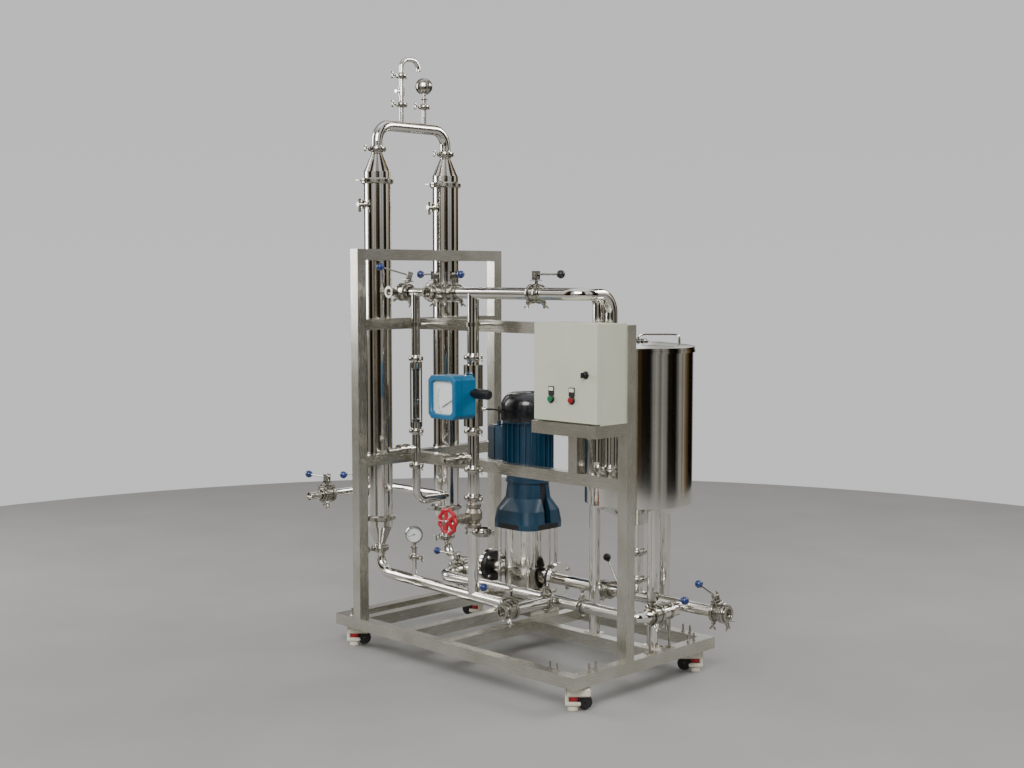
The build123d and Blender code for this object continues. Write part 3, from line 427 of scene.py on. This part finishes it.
# Each CAD clamp's place and direction comes from its own island: the thin way is the pipe's, the long
# way the screw's
def addClamps(name, node, screwLong, pipeSlack):
    shapes = []
    for points in islands(node):
        middle = points.mean(0)
        ways = np.linalg.eigh(np.cov((points - middle).T))[1]
        along, side = ways[:, 0], ways[:, 2]
        reach = (points - middle) @ ways
        low, high = reach.min(0), reach.max(0)
        outer = (high[1] - low[1]) / 2
        if -low[2] > high[2]:
            side, low[2], high[2] = -side, -high[2], -low[2]
        halfway = (high + low) / 2
        centre = middle + side * (low[2] + outer) + along * halfway[0] + ways[:, 1] * halfway[1]
        width = (high[0] - low[0]) / 2 * 1000
        shape = clampParts(outer * 1000, width, outer * 1000 - pipeSlack, screwLong)
        shapes.append(placed(shape, centre, along, side))
    print(name, len(shapes))
    return shapes


# Stem lean: the upright turned about the pipe by the lean angle
def stemOf(pipe, lean):
    up = np.array([0, 0, 1.0])
    return up * math.cos(math.radians(lean)) + np.cross(pipe, up) * math.sin(math.radians(lean))


# Butterfly valve about its own centre, pipe along X, stem along Z
def valveParts(openEnd):
    body = np.array([(0, -12), (33, -12), (36, -10.5), (36, 10.5), (33, 12), (0, 12)]) / 1000
    shapes = [placed(turned(body, 40), (0, 0, 0), (1, 0, 0), (0, 1, 0))]
    for s in (-1, 1):
        ring = clampParts(41, 8.5, 26.5, 26)
        shapes.append(placed(ring, (s * 0.0205, 0, 0), (s, 0, 0), (0, s * 0.55, -0.83)))
    neck = np.array([(0, 30), (12, 30), (12, 40), (9, 42), (9, 55), (6, 55), (6, 83), (0, 83)]) / 1000
    shapes.append(turned(neck, 24))
    shapes.append(placed(block([0.046, 0.03, 0.0025], 0.0006), (0, 0, 0.054)))
    if openEnd:
        h = 28
        mouth = [(16, h), (25.4, h), (25.4, h + 11), (30, h + 14.5), (32, h + 15.5), (32, h + 18),
                 (23, h + 18), (22.4, h + 17), (22.4, h + 4), (16, h + 3)]
        way = (openEnd, 0, 0)
        shapes.append(placed(turned(np.array(mouth) / 1000, 40, True), (0, 0, 0), way, (0, 1, 0)))
    return joined(shapes)


# Lever: a folded bracket on the stem, a round arm and a moulded ball
def leverParts(settings):
    rise, arm = settings["rise"] / 1000, settings["arm"] / 1000
    shapes = [placed(block([0.026, 0.026, 0.006], 0.001), (0, 0, rise - 0.0195))]
    for s in (-1, 1):
        shapes.append(placed(block([0.024, 0.003, 0.037], 0.0008), (0, s * 0.0115, rise - 0.004)))
    boss = np.array([(0, -13.5), (5.5, -13.5), (6, -13), (6, 13), (5.5, 13.5), (0, 13.5)]) / 1000
    shapes.append(placed(turned(boss, 16), (0, 0, rise), (0, 1, 0)))
    along = np.linspace(0, arm - 0.012, 6)
    path = np.column_stack([along, 0 * along, np.full(6, rise)])
    shapes.append(tube(path, [0.0046, 0.0044, 0.0042, 0.004, 0.004, 0.004], 14))
    lean = np.linspace(-math.pi / 2, math.pi / 2, 17)
    ball = settings["ball"]
    profile = [(0, -ball - 3), (6, -ball - 3), (6.5, -ball + 1)]
    profile += [(ball * math.cos(a), ball * math.sin(a)) for a in lean[3:]]
    knob = spun(profile, 28, (arm, 0, rise), (1, 0, 0), (0, 1, 0))
    return joined(shapes), knob


# Butterfly valves with their levers: each has a place, the pipe's direction, the stem's lean,
# the lever's turn about the stem, the side of an open mouth (0 for none) and the ball's colour
def addValves():
    lever = {"rise": 80.0, "arm": 140.0, "ball": 17.4}
    lineY, header, low, port = -237, 1636, 303, 327
    valves = [
        ("header_left", (-493, lineY, header), (1, 0, 0), -20, -125, 0, "knob"),
        ("header_front", (-230, -292, header), (0, 1, 0), 0, 75, -1, "knob"),
        ("header_middle", (-168, lineY, header), (1, 0, 0), 0, -30, 0, "knob"),
        ("header_right", (334, lineY, header), (1, 0, 0), 0, 0, 0, "black"),
        ("branch_outer", (-877, -398, 687), (0, 1, 0), 0, 90, 0, "knob"),
        ("branch_inner", (-877, -160, 687), (0, 1, 0), 0, 180, 0, "knob"),
        ("outlet", (-500, 82, low), (0, 1, 0), 0, 90, 0, "knob"),
        ("drain", (232, -292, low), (0, 1, 0), 0, 97, -1, "knob"),
        ("far_end", (939, 225, port), (1, 0, 0), 20, 155, 0, "knob"),
        ("back_run_end", (716, 81, low), (0, 1, 0), 0, -80, 0, "knob"),
        ("pump_suction", (325, 225, port), (1, 0, 0), -90, -120, 0, "black"),
    ]
    bodies = []
    for name, place, pipe, lean, turn, openEnd, tone in valves:
        pipe = np.array(pipe, float)
        stem = stemOf(pipe, lean)
        at = site(*place)
        bodies.append(placed(valveParts(openEnd), at, stem, pipe))
        arm = math.cos(math.radians(turn)) * pipe + math.sin(math.radians(turn)) * np.cross(stem, pipe)
        steel, knob = leverParts(lever)
        node = "lever_" + name
        piece(node + "_arm", [placed(steel, at, stem, arm)], "castSteel", node, node)
        piece(node + "_knob", [placed(knob, at, stem, arm)], tone, node, None)
    ends = [(0, 0), (25.4, 0), (25.4, 9), (30, 13), (32, 14.5), (32, 18), (23, 18), (22.4, 17), (22.4, 4),
            (0, 3)]
    bodies.append(spun(ends, 40, site(970, 225, port), (1, 0, 0), (0, 1, 0)))
    bodies.append(placed(clampParts(41, 8.5, 26.5, 26, (0, 1, 0)), site(971, 225, port), (1, 0, 0),
                         (0, 0.3, -1)))
    small = [(0, 0), (19, 0), (19, 11), (24, 15), (27, 16.5), (27, 20), (17, 20), (16.4, 19), (16.4, 6),
             (0, 5)]
    bodies.append(spun(small, 36, site(-546, -271, header), (0, -1, 0)))
    piece("butterfly_valves", bodies, "castSteel", "skid", "valve_bodies")


# Levelling castor: cream housing and foot, a toothed red thumbwheel in its window, and a rubber wheel
# beside it
def addCastors():
    settings = {"x": 690, "y": 390, "out": 0.046, "high": 0.034, "teeth": 72}
    turns = {"front_left": (-1, -1, 45), "front_right": (1, -1, 45), "back_left": (-1, 1, 200),
             "back_right": (1, 1, 225)}
    for name, (sx, sy, turn) in turns.items():
        at = site(sx * settings["x"], sy * settings["y"], 0)
        side = (math.cos(math.radians(turn)), math.sin(math.radians(turn)), 0)
        up = (0, 0, 1)
        shell = []
        for s in (-1, 1):
            shell.append(placed(block([0.098, 0.011, 0.034], 0.006), (0.020, s * 0.0225, 0.0755)))
            shell.append(placed(block([0.062, 0.011, 0.018], 0.005), (-0.001, s * 0.0225, 0.030)))
        shell.append(placed(block([0.094, 0.052, 0.012], 0.005), (0.018, 0, 0.087)))
        shell.append(placed(block([0.014, 0.05, 0.062], 0.006), (-0.025, 0, 0.059)))
        shell.append(turned(np.array([(0, 52), (14, 52), (14, 93.5), (0, 93.5)]) / 1000, 24))
        piece("castor_%s_housing" % name, [placed(joined(shell), at, up, side)], "cream", "castor_" + name,
              "castor_" + name)
        count = settings["teeth"]
        teeth = 20 + 0.8 * (np.arange(count) % 2)
        grid, faces = turned(np.array([(0, 40), (1, 40), (1.04, 41), (1.04, 56), (1, 57), (0, 57)]), count)
        grid = grid * np.column_stack([np.tile(teeth, 6), np.tile(teeth, 6), np.ones(6 * count)]) / 1000
        piece("castor_%s_thumbwheel" % name, [placed((grid, faces), at, up, side)], "red", "castor_" + name,
              None)
        pad = [(0, 0), (20, 0), (22, 3), (22, 12), (20, 19), (15, 25), (9, 28), (8, 38), (0, 38)]
        piece("castor_%s_pad" % name, [spun(pad, 32, at, up, side)], "cream", "castor_" + name,
              None)
        tyre = [(4.06, -11), (26, -11), (29, -9), (30, -6), (30, 6), (29, 9), (26, 11), (4.06, 11)]
        wheel = placed(turned(np.array(tyre) / 1000, 40, True), (settings["out"], 0, settings["high"]),
                       (0, 1, 0), (1, 0, 0))
        piece("castor_%s_tyre" % name, [placed(wheel, at, up, side)], "rubber", "wheel_" + name,
              "castor_wheel_" + name)


# Red wheel: the rim's radius and thickness swell at each finger lobe
def addHandwheel():
    settings = {"rim": 50.0, "lobe": 2.6, "thick": 10.0, "lobes": 9, "spokes": 5, "x": -44, "y": -389,
                "z": 660}
    turn = np.linspace(0, 2 * math.pi, 145)[:-1]
    radius = settings["rim"] + settings["lobe"] * np.cos(settings["lobes"] * turn)
    ring = np.linspace(0, 2 * math.pi, 17)[:-1]
    swell = settings["thick"] * (1 - 0.14 * np.abs(np.sin(settings["lobes"] * turn / 2)))
    across = radius[:, None] + swell[:, None] * np.cos(ring)
    height = 0.85 * swell[:, None] * np.sin(ring)
    points = np.stack([across * np.cos(turn)[:, None], across * np.sin(turn)[:, None], height],
                      -1).reshape(-1, 3) / 1000
    grid = np.arange(len(points)).reshape(len(turn), 16)
    after = np.roll(grid, -1, 0)
    faces = np.stack([grid, after, np.roll(after, -1, 1), np.roll(grid, -1, 1)], -1).reshape(-1, 4)
    shapes = [(points, faces)]
    along = np.linspace(8, settings["rim"] - 4, 6)
    for k in range(settings["spokes"]):
        a = 2 * math.pi * (k + 0.5) / settings["spokes"]
        sink = 3 - 3 * np.linspace(0, 1, 6)
        path = np.column_stack([along * math.cos(a), along * math.sin(a), sink]) / 1000
        shapes.append(tube(path, np.linspace(12, 11, 6) / 1000, 12, 0.5))
    hub = [(6.3, -11), (19, -11), (20, -9), (18, 6), (15, 9.5), (6.3, 9.5)]
    shapes.append(turned(np.array(hub) / 1000, 28, True))
    at = site(settings["x"], settings["y"], settings["z"])
    piece("handwheel_rim", [placed(joined(shapes), at, (0, -1, 0))], "red", "handwheel", "handwheel")
    nut = placed(bolt(8, 10), site(settings["x"], settings["y"] - 10, settings["z"]), (0, -1, 0))
    piece("handwheel_nut", [nut], "castSteel", "handwheel", None)


# Threaded stud with its nut: the thread's radius follows a triangle wave
def stud(radius, high):
    steps = np.linspace(0, high, 25)
    thread = np.column_stack([radius - 0.35 * (np.arange(25) % 2), steps])
    shaft = turned(np.vstack([[0, 0], thread, [0, high]]) / 1000, 12)
    return joined([shaft, bolt(radius * 1.75, radius * 1.6)])


# Studs of the levelling feet on the base in pairs, and the pump's own bolts
def addBolts():
    settings = {"foot": 5.0, "tall": 34.0, "long": (-660, -622, 596, 634), "short": (-334, -296, 296, 334),
                "top": 150}
    shapes = []
    for y in (-425, 425):
        for x in settings["long"]:
            shapes.append(placed(stud(settings["foot"], settings["tall"]), site(x, y, settings["top"])))
    for x in (-725, 725):
        for y in settings["short"]:
            shapes.append(placed(stud(settings["foot"], settings["tall"]), site(x, y, settings["top"])))
    piece("base_bolts", shapes, "castSteel", "skid", None)
    pump = {"x": -165, "y": 225, "port": 327, "flange": 62, "stay": 131, "plate": 232, "lantern": 574,
            "faces": ((47, 1), (-423, -1), (7, -1), (-383, 1)), "foot": (118, 80)}
    shapes = []
    for k in range(4):
        a = math.radians(45 + 90 * k)
        across, up = math.cos(a), math.sin(a)
        for x, way in pump["faces"]:
            spot = site(x, pump["y"] + pump["flange"] * across, pump["port"] + pump["flange"] * up)
            shapes.append(placed(bolt(10, 11), spot, (way, 0, 0)))
        x, y = pump["x"] + pump["stay"] * across, pump["y"] + pump["stay"] * up
        shapes.append(placed(bolt(15, 14), site(x, y, pump["plate"])))
        shapes.append(placed(bolt(13, 12), site(x, y, pump["lantern"])))
        x = pump["x"] + math.copysign(pump["foot"][0], across)
        y = pump["y"] + math.copysign(pump["foot"][1], up)
        shapes.append(placed(bolt(11, 10), site(x, y, pump["plate"])))
    piece("pump_bolts", shapes, "castSteel", "skid", None)


# Flow meter: eight-sided blue case with a seam and a deep front frame, pale dial, needle, marks and a
# black plug
def addMeter():
    settings = {"marks": 17, "first": 158, "step": 3.6, "needle": 207, "x": -44.0, "back": -301.0,
                "z": 1194.5, "wide": 172.0, "high": 185.0, "cut": 18.0, "deep": 122.0}
    back = site(settings["x"], settings["back"], settings["z"])
    seam, deep, edge, floor = 80, settings["deep"], 22, 108
    profile = [(4, 0), (0, 4), (0, seam), (2, seam + 1), (2, seam + 3), (0, seam + 4), (0, deep - 4),
               (3, deep), (edge - 3, deep), (edge, deep - 3), (edge + 1, floor)]
    case = octagon(settings["wide"], settings["high"], settings["cut"], profile)
    shapes = [placed(case, back, (0, -1, 0))]
    neck = [(0, -38), (18, -38), (18, -8), (26, -6), (26, 2), (0, 2)]
    shapes.append(spun(neck, 28, back, (0, -1, 0)))
    piece("meter_case", shapes, "meterBlue", "skid", "flow_meter")
    cap = [(0, 42), (14, 42), (14, 58), (21, 60)] + [(22 if k % 2 else 21.3, 62 + 3 * k) for k in range(24)]
    cap += [(22, 136), (20, 143), (15, 147), (0, 148)]
    piece("meter_terminal", [spun(cap, 36, site(0, -323, 1212), (1, 0, 0))], "black", "skid",
          None)
    face = octagon(settings["wide"] - 2 * edge - 1, settings["high"] - 2 * edge - 1, 12,
                   [(0, floor), (0, floor + 1)])
    piece("meter_dial", [placed(face, back, (0, -1, 0))], "dial", "skid", None)
    pivot = site(21, settings["back"] - floor - 2, 1189)
    marks = []
    for k in range(settings["marks"]):
        a = math.radians(settings["first"] + settings["step"] * k)
        long = 0.010 if k % 4 == 0 else 0.005
        spoke = np.array([math.cos(a), 0, math.sin(a)])
        marks.append(placed(block([long, 0.0012, 0.001], 0.0002), pivot + spoke * (0.104 - long / 2),
                            (0, -1, 0), spoke))
    a = math.radians(settings["needle"])
    spoke = np.array([math.cos(a), 0, math.sin(a)])
    marks.append(placed(block([0.079, 0.0034, 0.0016], 0.0004), pivot + spoke * 0.0395 + [0, -0.003, 0],
                        (0, -1, 0), spoke))
    marks.append(placed(turned(np.array([(0, 0), (6, 0), (6, 4), (0, 5)]) / 1000, 20), pivot, (0, -1, 0)))
    piece("meter_marks", marks, "black", "skid", None)
    plug = [(0, 20), (10, 20), (10, 40), (8, 42), (0, 42)]
    piece("tube_plug", [spun(plug, 24, site(-44, -237, 1273), (0.7071, -0.7071, 0))], "black",
          "skid", None)


# Motor and pump dress: grey lid of the terminal box, dark band and coupling guard on the lantern
def addMotorDress():
    lid = {"x": -331, "y": 225, "z": 929, "wide": 119.2, "high": 165.2, "cut": 10.4, "deep": 40,
           "screws": (47, 69)}
    profile = [(0, 1), (0, lid["deep"] - 5), (4, lid["deep"] + 0.6), (14, lid["deep"] + 0.6)]
    spot = site(lid["x"], lid["y"], lid["z"])
    shapes = [placed(octagon(lid["high"], lid["wide"], lid["cut"], profile), spot, (-1, 0, 0), (0, 0, 1))]
    for s in (-1, 1):
        for t in (-1, 1):
            corner = np.array([-lid["deep"] - 1, s * lid["screws"][0], t * lid["screws"][1]]) / 1000
            shapes.append(placed(bolt(6, 5), spot + corner, (-1, 0, 0)))
    piece("terminal_lid", shapes, "darkGrey", "skid", None)
    lantern = {"x": -165, "y": 225, "wide": 258, "cut": 64, "low": 548, "band": 25, "guard": 93.8,
               "middle": 667, "slats": 14, "first": 585, "pitch": 12.6}
    low, high = lantern["low"], lantern["low"] + lantern["band"]
    band = octagon(lantern["wide"], lantern["wide"], lantern["cut"], [(-0.6, low), (-0.6, high),
                                                                      (3, high + 1.4), (3, low)], True)
    shapes = [placed(band, site(lantern["x"], lantern["y"], 0))]
    for s in (-1, 1):
        x = lantern["x"] + s * lantern["guard"]
        shapes.append(placed(block([0.0016, 0.039, 0.183], 0.0004),
                             site(x, lantern["y"], lantern["middle"])))
        for k in range(lantern["slats"]):
            slat = block([0.0016, 0.033, 0.006], 0.0004)
            shapes.append(placed(slat, site(x + s * 1.4, lantern["y"],
                                            lantern["first"] + lantern["pitch"] * k)))
    piece("coupling_guard", shapes, "black", "skid", None)


# Round gauges on their stems: a domed shell with its rim, a pale dial, ticks every ten degrees and a
# needle
def addGauges():
    settings = {"first": -45, "step": 10, "ticks": 28, "needle": 200,
                "spots": [((-685, 50, 2601), (-0.7071, 0.7071, 0)),
                          ((-440, -237, 532), (0.7071, -0.7071, 0))]}
    steel, dials, marks = [], [], []
    for place, way in settings["spots"]:
        way = np.array(way, float)
        at = site(*place)
        shell = [(0, -27), (10, -26.4), (19, -24.5), (27, -20.5), (33, -14.5), (36, -8), (37, 4), (40, 6),
                 (40.5, 12), (37, 17), (33, 17), (32.5, 9), (0, 9)]
        steel.append(spun(shell, 44, at, way, (0, 0, 1)))
        stem = [(0, -85), (11, -85), (11, -66), (17, -62), (17, -58), (7, -55), (7, -46), (10, -46),
                (10, -34), (0, -34)]
        steel.append(spun(stem, 24, at))
        dials.append(placed(turned(np.array([(0, 0), (33.5, 0), (33.5, 1), (0, 1)]) / 1000, 36),
                            at + way * 0.009, way, (0, 0, 1)))
        level = np.cross((0, 0, 1), way)
        for k in range(settings["ticks"]):
            a = math.radians(settings["first"] + settings["step"] * k)
            spoke = math.cos(a) * level + math.sin(a) * np.array([0, 0, 1.0])
            long = 0.006 if k % 3 == 0 else 0.003
            marks.append(placed(block([long, 0.0009, 0.0006], 0.0001), at + way * 0.0102 + spoke * 0.0275,
                                way, spoke))
        a = math.radians(settings["needle"])
        spoke = math.cos(a) * level + math.sin(a) * np.array([0, 0, 1.0])
        marks.append(placed(block([0.034, 0.0016, 0.001], 0.0002), at + way * 0.0112 + spoke * 0.01, way,
                            spoke))
        marks.append(placed(turned(np.array([(0, 0), (3, 0), (3, 3), (0, 3)]) / 1000, 16), at + way * 0.01,
                            way, (0, 0, 1)))
    piece("gauge_cases", steel, "castSteel", "skid", "pressure_gauges")
    piece("gauge_dials", dials, "dial", "skid", None)
    piece("gauge_marks", marks, "black", "skid", None)


# Fan cowl: a dome with a grille of rings cut into its top
def addCowl():
    settings = {"top": 1174, "low": 1043, "wide": 124, "rings": 7, "pitch": 9}
    top, low, wide = settings["top"], settings["low"], settings["wide"]
    profile = [(0, low), (wide - 0.5, low), (wide, low + 3), (wide, top - 56), (wide - 3, top - 42),
               (wide - 8, top - 31), (wide - 16, top - 20), (wide - 25, top - 11), (wide - 36, top - 4.5),
               (80, top - 2), (78, top - 2)]
    for k in range(settings["rings"]):
        r = 78 - settings["pitch"] * k
        profile += [(r - 2, top - 4), (r - 2.5, top - 8), (r - 6, top - 8), (r - 6.5, top - 2)]
    profile += [(10, top - 1), (0, top - 1)]
    piece("fan_cowl_shell", [spun(profile, 56, site(-165, 225, 0))], "glossBlack", "skid",
          "fan_cowl")


# Door furniture: lock with its key, green and red buttons in dark bezels, blank legend plates in dark
# holders
def addControls():
    settings = {"front": -317, "high": 1218, "buttons": ((499, "green"), (611, "redButton")),
                "lock": (685, 1322)}
    front, high = settings["front"], settings["high"]
    bezel = [(0, 0), (17, 0), (17, 4), (15, 6.5), (12.6, 6.5), (12.6, 3), (0, 3)]
    button = [(0, 0), (12.2, 0), (12.2, 9), (10.5, 11.5), (0, 12)]
    dark, plates = [], []
    for x, tone in settings["buttons"]:
        dark.append(spun(bezel, 32, site(x, front, high), (0, -1, 0)))
        dark.append(placed(block([0.032, 0.0030, 0.036], 0.001), site(x, front - 1.5, high + 33)))
        plates.append(placed(block([0.024, 0.0012, 0.014], 0.0003), site(x, front - 3.4, high + 40)))
        piece("button_" + tone, [spun(button, 28, site(x, front - 3, high), (0, -1, 0))], tone,
              "cabinet_door", None)
    piece("button_bezels", dark, "black", "cabinet_door", "door_controls")
    piece("legend_plates", plates, "ivory", "cabinet_door", None)
    across, up = settings["lock"]
    lock = [(0, 0), (15.5, 0), (15.5, 3), (13.5, 5), (9, 6), (9, 12), (7, 14), (0, 14)]
    shapes = [spun(lock, 32, site(across, front, up), (0, -1, 0))]
    shapes.append(placed(block([0.005, 0.018, 0.022], 0.0015), site(across, front - 22, up)))
    piece("door_lock", shapes, "black", "cabinet_door", None)


# Rotameter: a steel float and a black seal at each end of the clear tube
def addRotameter():
    settings = {"x": -421, "y": -237, "float": 1120, "seals": (1054, 1283)}
    x, y = settings["x"], settings["y"]
    floatShape = [(0, 0), (5, 2), (9, 20), (9, 24), (11, 26), (11, 30), (0, 31)]
    piece("rotameter_float", [spun(floatShape, 20, site(x, y, settings["float"]))], "castSteel", "skid",
          None)
    seals = []
    for z in settings["seals"]:
        seals.append(placed(turned(np.array([(0, 0), (18, 0), (18, 8), (0, 8)]) / 1000, 28), site(x, y, z)))
    piece("rotameter_seals", seals, "black", "skid", None)


# Meter cable: a curve through the chosen points of its route, from the sensor's gland to the motor's
# terminal box
def addCable():
    settings = {"radius": 4.0, "length": 0.592}
    route = [(-5.8, -198.8, 1133), (20, -173, 1133), (21, -136, 1124), (-22, -90, 1112),
             (-81.5, -33.8, 1100), (-141, 22.5, 1093), (-200.5, 78.8, 1091), (-260, 135, 1097),
             (-294, 160, 1105), (-318, 186, 1077), (-318, 186, 1032)]
    curve = bpy.data.curves.new("meter_cable_line", "CURVE")
    curve.dimensions = "3D"
    spline = curve.splines.new("NURBS")
    spline.points.add(len(route) - 1)
    for point, place in zip(spline.points, route):
        point.co = (*site(*place), 1.0)
    spline.order_u = 3
    spline.use_endpoint_u = True
    curve.resolution_u = 12
    curve.bevel_depth = settings["radius"] / 1000
    curve.bevel_resolution = 5
    curve.use_fill_caps = True
    curve.materials.append(look["rubber"])
    cable = bpy.data.objects.new("meter_cable_sheath", curve)
    bpy.context.scene.collection.objects.link(cable)
    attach(cable, "skid")
    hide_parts("meter_cable")


# Tank lid: the dished cover, an off-centre bail whose corners follow a flattened arch, and a small
# filling cap
def addLid():
    settings = {"x": 500, "y": 225, "seat": 1401, "rim": 238, "bail": 88, "high": 42, "bar": 5.5, "out": 84,
                "turn": 45}
    seat, rim = settings["seat"], settings["rim"]
    cover = [(0, seat), (rim, seat), (rim, seat + 10), (218, seat + 14), (120, seat + 24), (0, seat + 28)]
    shapes = [spun(cover, 96, site(settings["x"], settings["y"], 0))]
    lean = np.linspace(0, math.pi, 33)
    along = settings["bail"] * np.sign(np.cos(lean)) * np.abs(np.cos(lean)) ** 0.3
    up = settings["high"] * np.abs(np.sin(lean)) ** 0.3
    path = np.column_stack([along, 0 * along, up]) / 1000
    a = math.radians(settings["turn"])
    way = np.array([math.cos(a), math.sin(a), 0.0])
    middle = site(settings["x"], settings["y"], seat + 18) + way * settings["out"] / 1000
    shapes.append(placed(tube(path, settings["bar"] / 1000, 14), middle, (0, 0, 1), way))
    cap = [(0, 0), (26, 0), (26, 12), (31, 14), (31, 20), (24, 23), (24, 27), (0, 27)]
    shapes.append(spun(cap, 36, middle - way * 0.075 - [0, 0, 0.004]))
    piece("tank_lid_cover", shapes, "mirrorZ", "skid", "tank_lid")


# Camera from the photograph's own perspective
def addCamera():
    settings = {"place": (4.3584, -4.3781, 1.7159), "turn": 45.16, "tilt": -4.48, "lens": 49.2}
    data = bpy.data.cameras.new("camera")
    data.lens = settings["lens"]
    data.sensor_width = 36.0
    data.clip_end = 60.0
    camera = bpy.data.objects.new("camera", data)
    camera.location = [a + b for a, b in zip(settings["place"], shift)]
    camera.rotation_euler = (math.radians(90 + settings["tilt"]), 0.0, math.radians(settings["turn"]))
    bpy.context.scene.collection.objects.link(camera)
    bpy.context.scene.camera = camera


# Soft lamp that faces its aim: tilt and turn come from the direction between the two
def addArea(name, place, aim, size, power):
    data = bpy.data.lights.new(name, "AREA")
    data.shape = "RECTANGLE"
    data.size, data.size_y = size
    data.energy = power
    lamp = bpy.data.objects.new(name, data)
    lamp.location = place
    way = np.array(aim, float) - np.array(place, float)
    flat = math.hypot(way[0], way[1])
    lamp.rotation_euler = (math.atan2(flat, -way[2]), 0.0, math.atan2(way[1], way[0]) - math.pi / 2)
    bpy.context.scene.collection.objects.link(lamp)


# A ramp with many stops: each (place, colour code) becomes one element
def bands(tree, source, stops):
    node = addNode(tree, "ValToRGB", links={"Fac": source})
    parts = node.color_ramp.elements
    for place, code in stops[1:-1]:
        parts.new(place).color = colour(code)
    parts[0].color = colour(stops[0][1])
    parts[len(parts) - 1].color = colour(stops[-1][1])
    return node.outputs["Color"]


# World: bright upright panels with dark and golden gaps between them for the steel to mirror, and a
# white ceiling
def addWorld():
    world = bpy.data.worlds.new("studio")
    world.use_nodes = True
    bpy.context.scene.world = world
    tree = world.node_tree
    back = tree.nodes["Background"]
    way = addNode(tree, "TexCoord").outputs["Generated"]
    parts = addNode(tree, "SeparateXYZ", links={"Vector": way})
    turn = addNode(tree, "Math", {"operation": "ARCTAN2"}, links={0: parts.outputs["Y"],
                                                                  1: parts.outputs["X"]})
    share = addNode(tree, "MapRange", values={"From Min": -math.pi, "From Max": math.pi},
                    links={"Value": turn.outputs[0]})
    panels = bands(tree, share.outputs["Result"], [
        (0.0, "#C8C8C8"), (0.03, "#141210"), (0.07, "#2A251E"), (0.09, "#FFFFFF"), (0.15, "#F4F0E6"),
        (0.17, "#7A5F36"), (0.20, "#15130F"), (0.24, "#26231F"), (0.26, "#FFFFFF"), (0.33, "#FFFFFF"),
        (0.35, "#B08F55"), (0.38, "#3A3126"), (0.43, "#121110"), (0.45, "#E8E8E8"), (0.52, "#FFFFFF"),
        (0.54, "#3C352C"), (0.60, "#1A1816"), (0.62, "#FFFFFF"), (0.68, "#F2EBD8"), (0.70, "#9A7A45"),
        (0.74, "#1B1814"), (0.79, "#2B2723"), (0.81, "#FFFFFF"), (0.88, "#FFFFFF"), (0.90, "#4A4036"),
        (0.95, "#171513"), (1.0, "#C8C8C8")])
    far = addNode(tree, "Math", {"operation": "MULTIPLY"}, {1: 46.0}, {0: share.outputs["Result"]})
    fold = addNode(tree, "TexNoise", {"noise_dimensions": "1D"}, {"Scale": 1.0, "Detail": 2.0},
                   {"W": far.outputs[0]})
    streaks = ramp(tree, fold.outputs["Fac"], 0.42, 0.56, (0.3, 0.28, 0.25, 1), (1, 1, 1, 1))
    folded = addNode(tree, "Mix", {"data_type": "RGBA", "blend_type": "MULTIPLY"}, {"Factor": 0.8},
                     {"A": panels, "B": streaks})
    height = ramp(tree, span(tree, parts.outputs["Z"], 0.0, 1.0), 0.0, 0.14, colour("#8A8884"),
                  colour("#F2F2F4"))
    roof = ramp(tree, parts.outputs["Z"], 0.72, 0.95, (0, 0, 0, 1), (0.8, 0.8, 0.8, 1))
    both = addNode(tree, "Mix", {"data_type": "RGBA", "blend_type": "MULTIPLY"}, {"Factor": 1.0},
                   {"A": height, "B": folded.outputs["Result"]})
    topped = addNode(tree, "Mix", {"data_type": "RGBA", "blend_type": "LIGHTEN"}, {"Factor": 1.0},
                     {"A": both.outputs["Result"], "B": roof})
    direct = addNode(tree, "LightPath").outputs["Is Camera Ray"]
    plain = ramp(tree, parts.outputs["Z"], 0.0, 0.5, colour("#C3C3C4"), colour("#B4B4B6"))
    seen = addNode(tree, "Mix", {"data_type": "RGBA"}, links={"Factor": direct,
                                                              "A": topped.outputs["Result"], "B": plain})
    tree.links.new(seen.outputs["Result"], back.inputs["Color"])
    back.inputs["Strength"].default_value = 1.35


# Pale floor: one level disc, with the plain backdrop beyond it
def addFloor():
    settings = {"radius": 5.6, "sides": 96}
    turn = np.arange(settings["sides"]) * 2 * math.pi / settings["sides"]
    rim = np.column_stack([np.cos(turn), np.sin(turn), 0 * turn]) * settings["radius"]
    mesh = bpy.data.meshes.new("floor")
    mesh.from_pydata([tuple(map(float, p)) for p in rim], [], [tuple(range(settings["sides"]))])
    floor = bpy.data.objects.new("floor", mesh)
    material, tree, shader = newMaterial("pale_floor", {"Roughness": 0.75})
    clouds = noise(tree, [1.5] * 3, 4.0)
    tree.links.new(ramp(tree, clouds, 0.2, 0.8, colour("#8F8E8C"), colour("#999896")),
                   shader.inputs["Base Color"])
    mesh.materials.append(material)
    bpy.context.scene.collection.objects.link(floor)


piece("pipe_clamp_rings", addClamps("pipe clamps", "pipe_clamps", 30, 14), "castSteel", "skid",
      "pipe_clamps")
addValves()
addCastors()
addHandwheel()
addBolts()
addMeter()
addGauges()
addCowl()
addMotorDress()
addCable()
addControls()
addRotameter()
addLid()
print("pieces made")
addCamera()
addWorld()
addFloor()
addArea("key", (3.2, -4.5, 4.6), (0.0, 0.0, 1.2), (3.0, 3.0), 330.0)
addArea("fill", (-4.8, -2.6, 3.0), (0.0, 0.0, 1.2), (2.0, 3.5), 170.0)
addArea("rim", (2.6, 3.6, 4.2), (0.0, 0.0, 1.2), (3.0, 1.6), 150.0)
print("stage made")
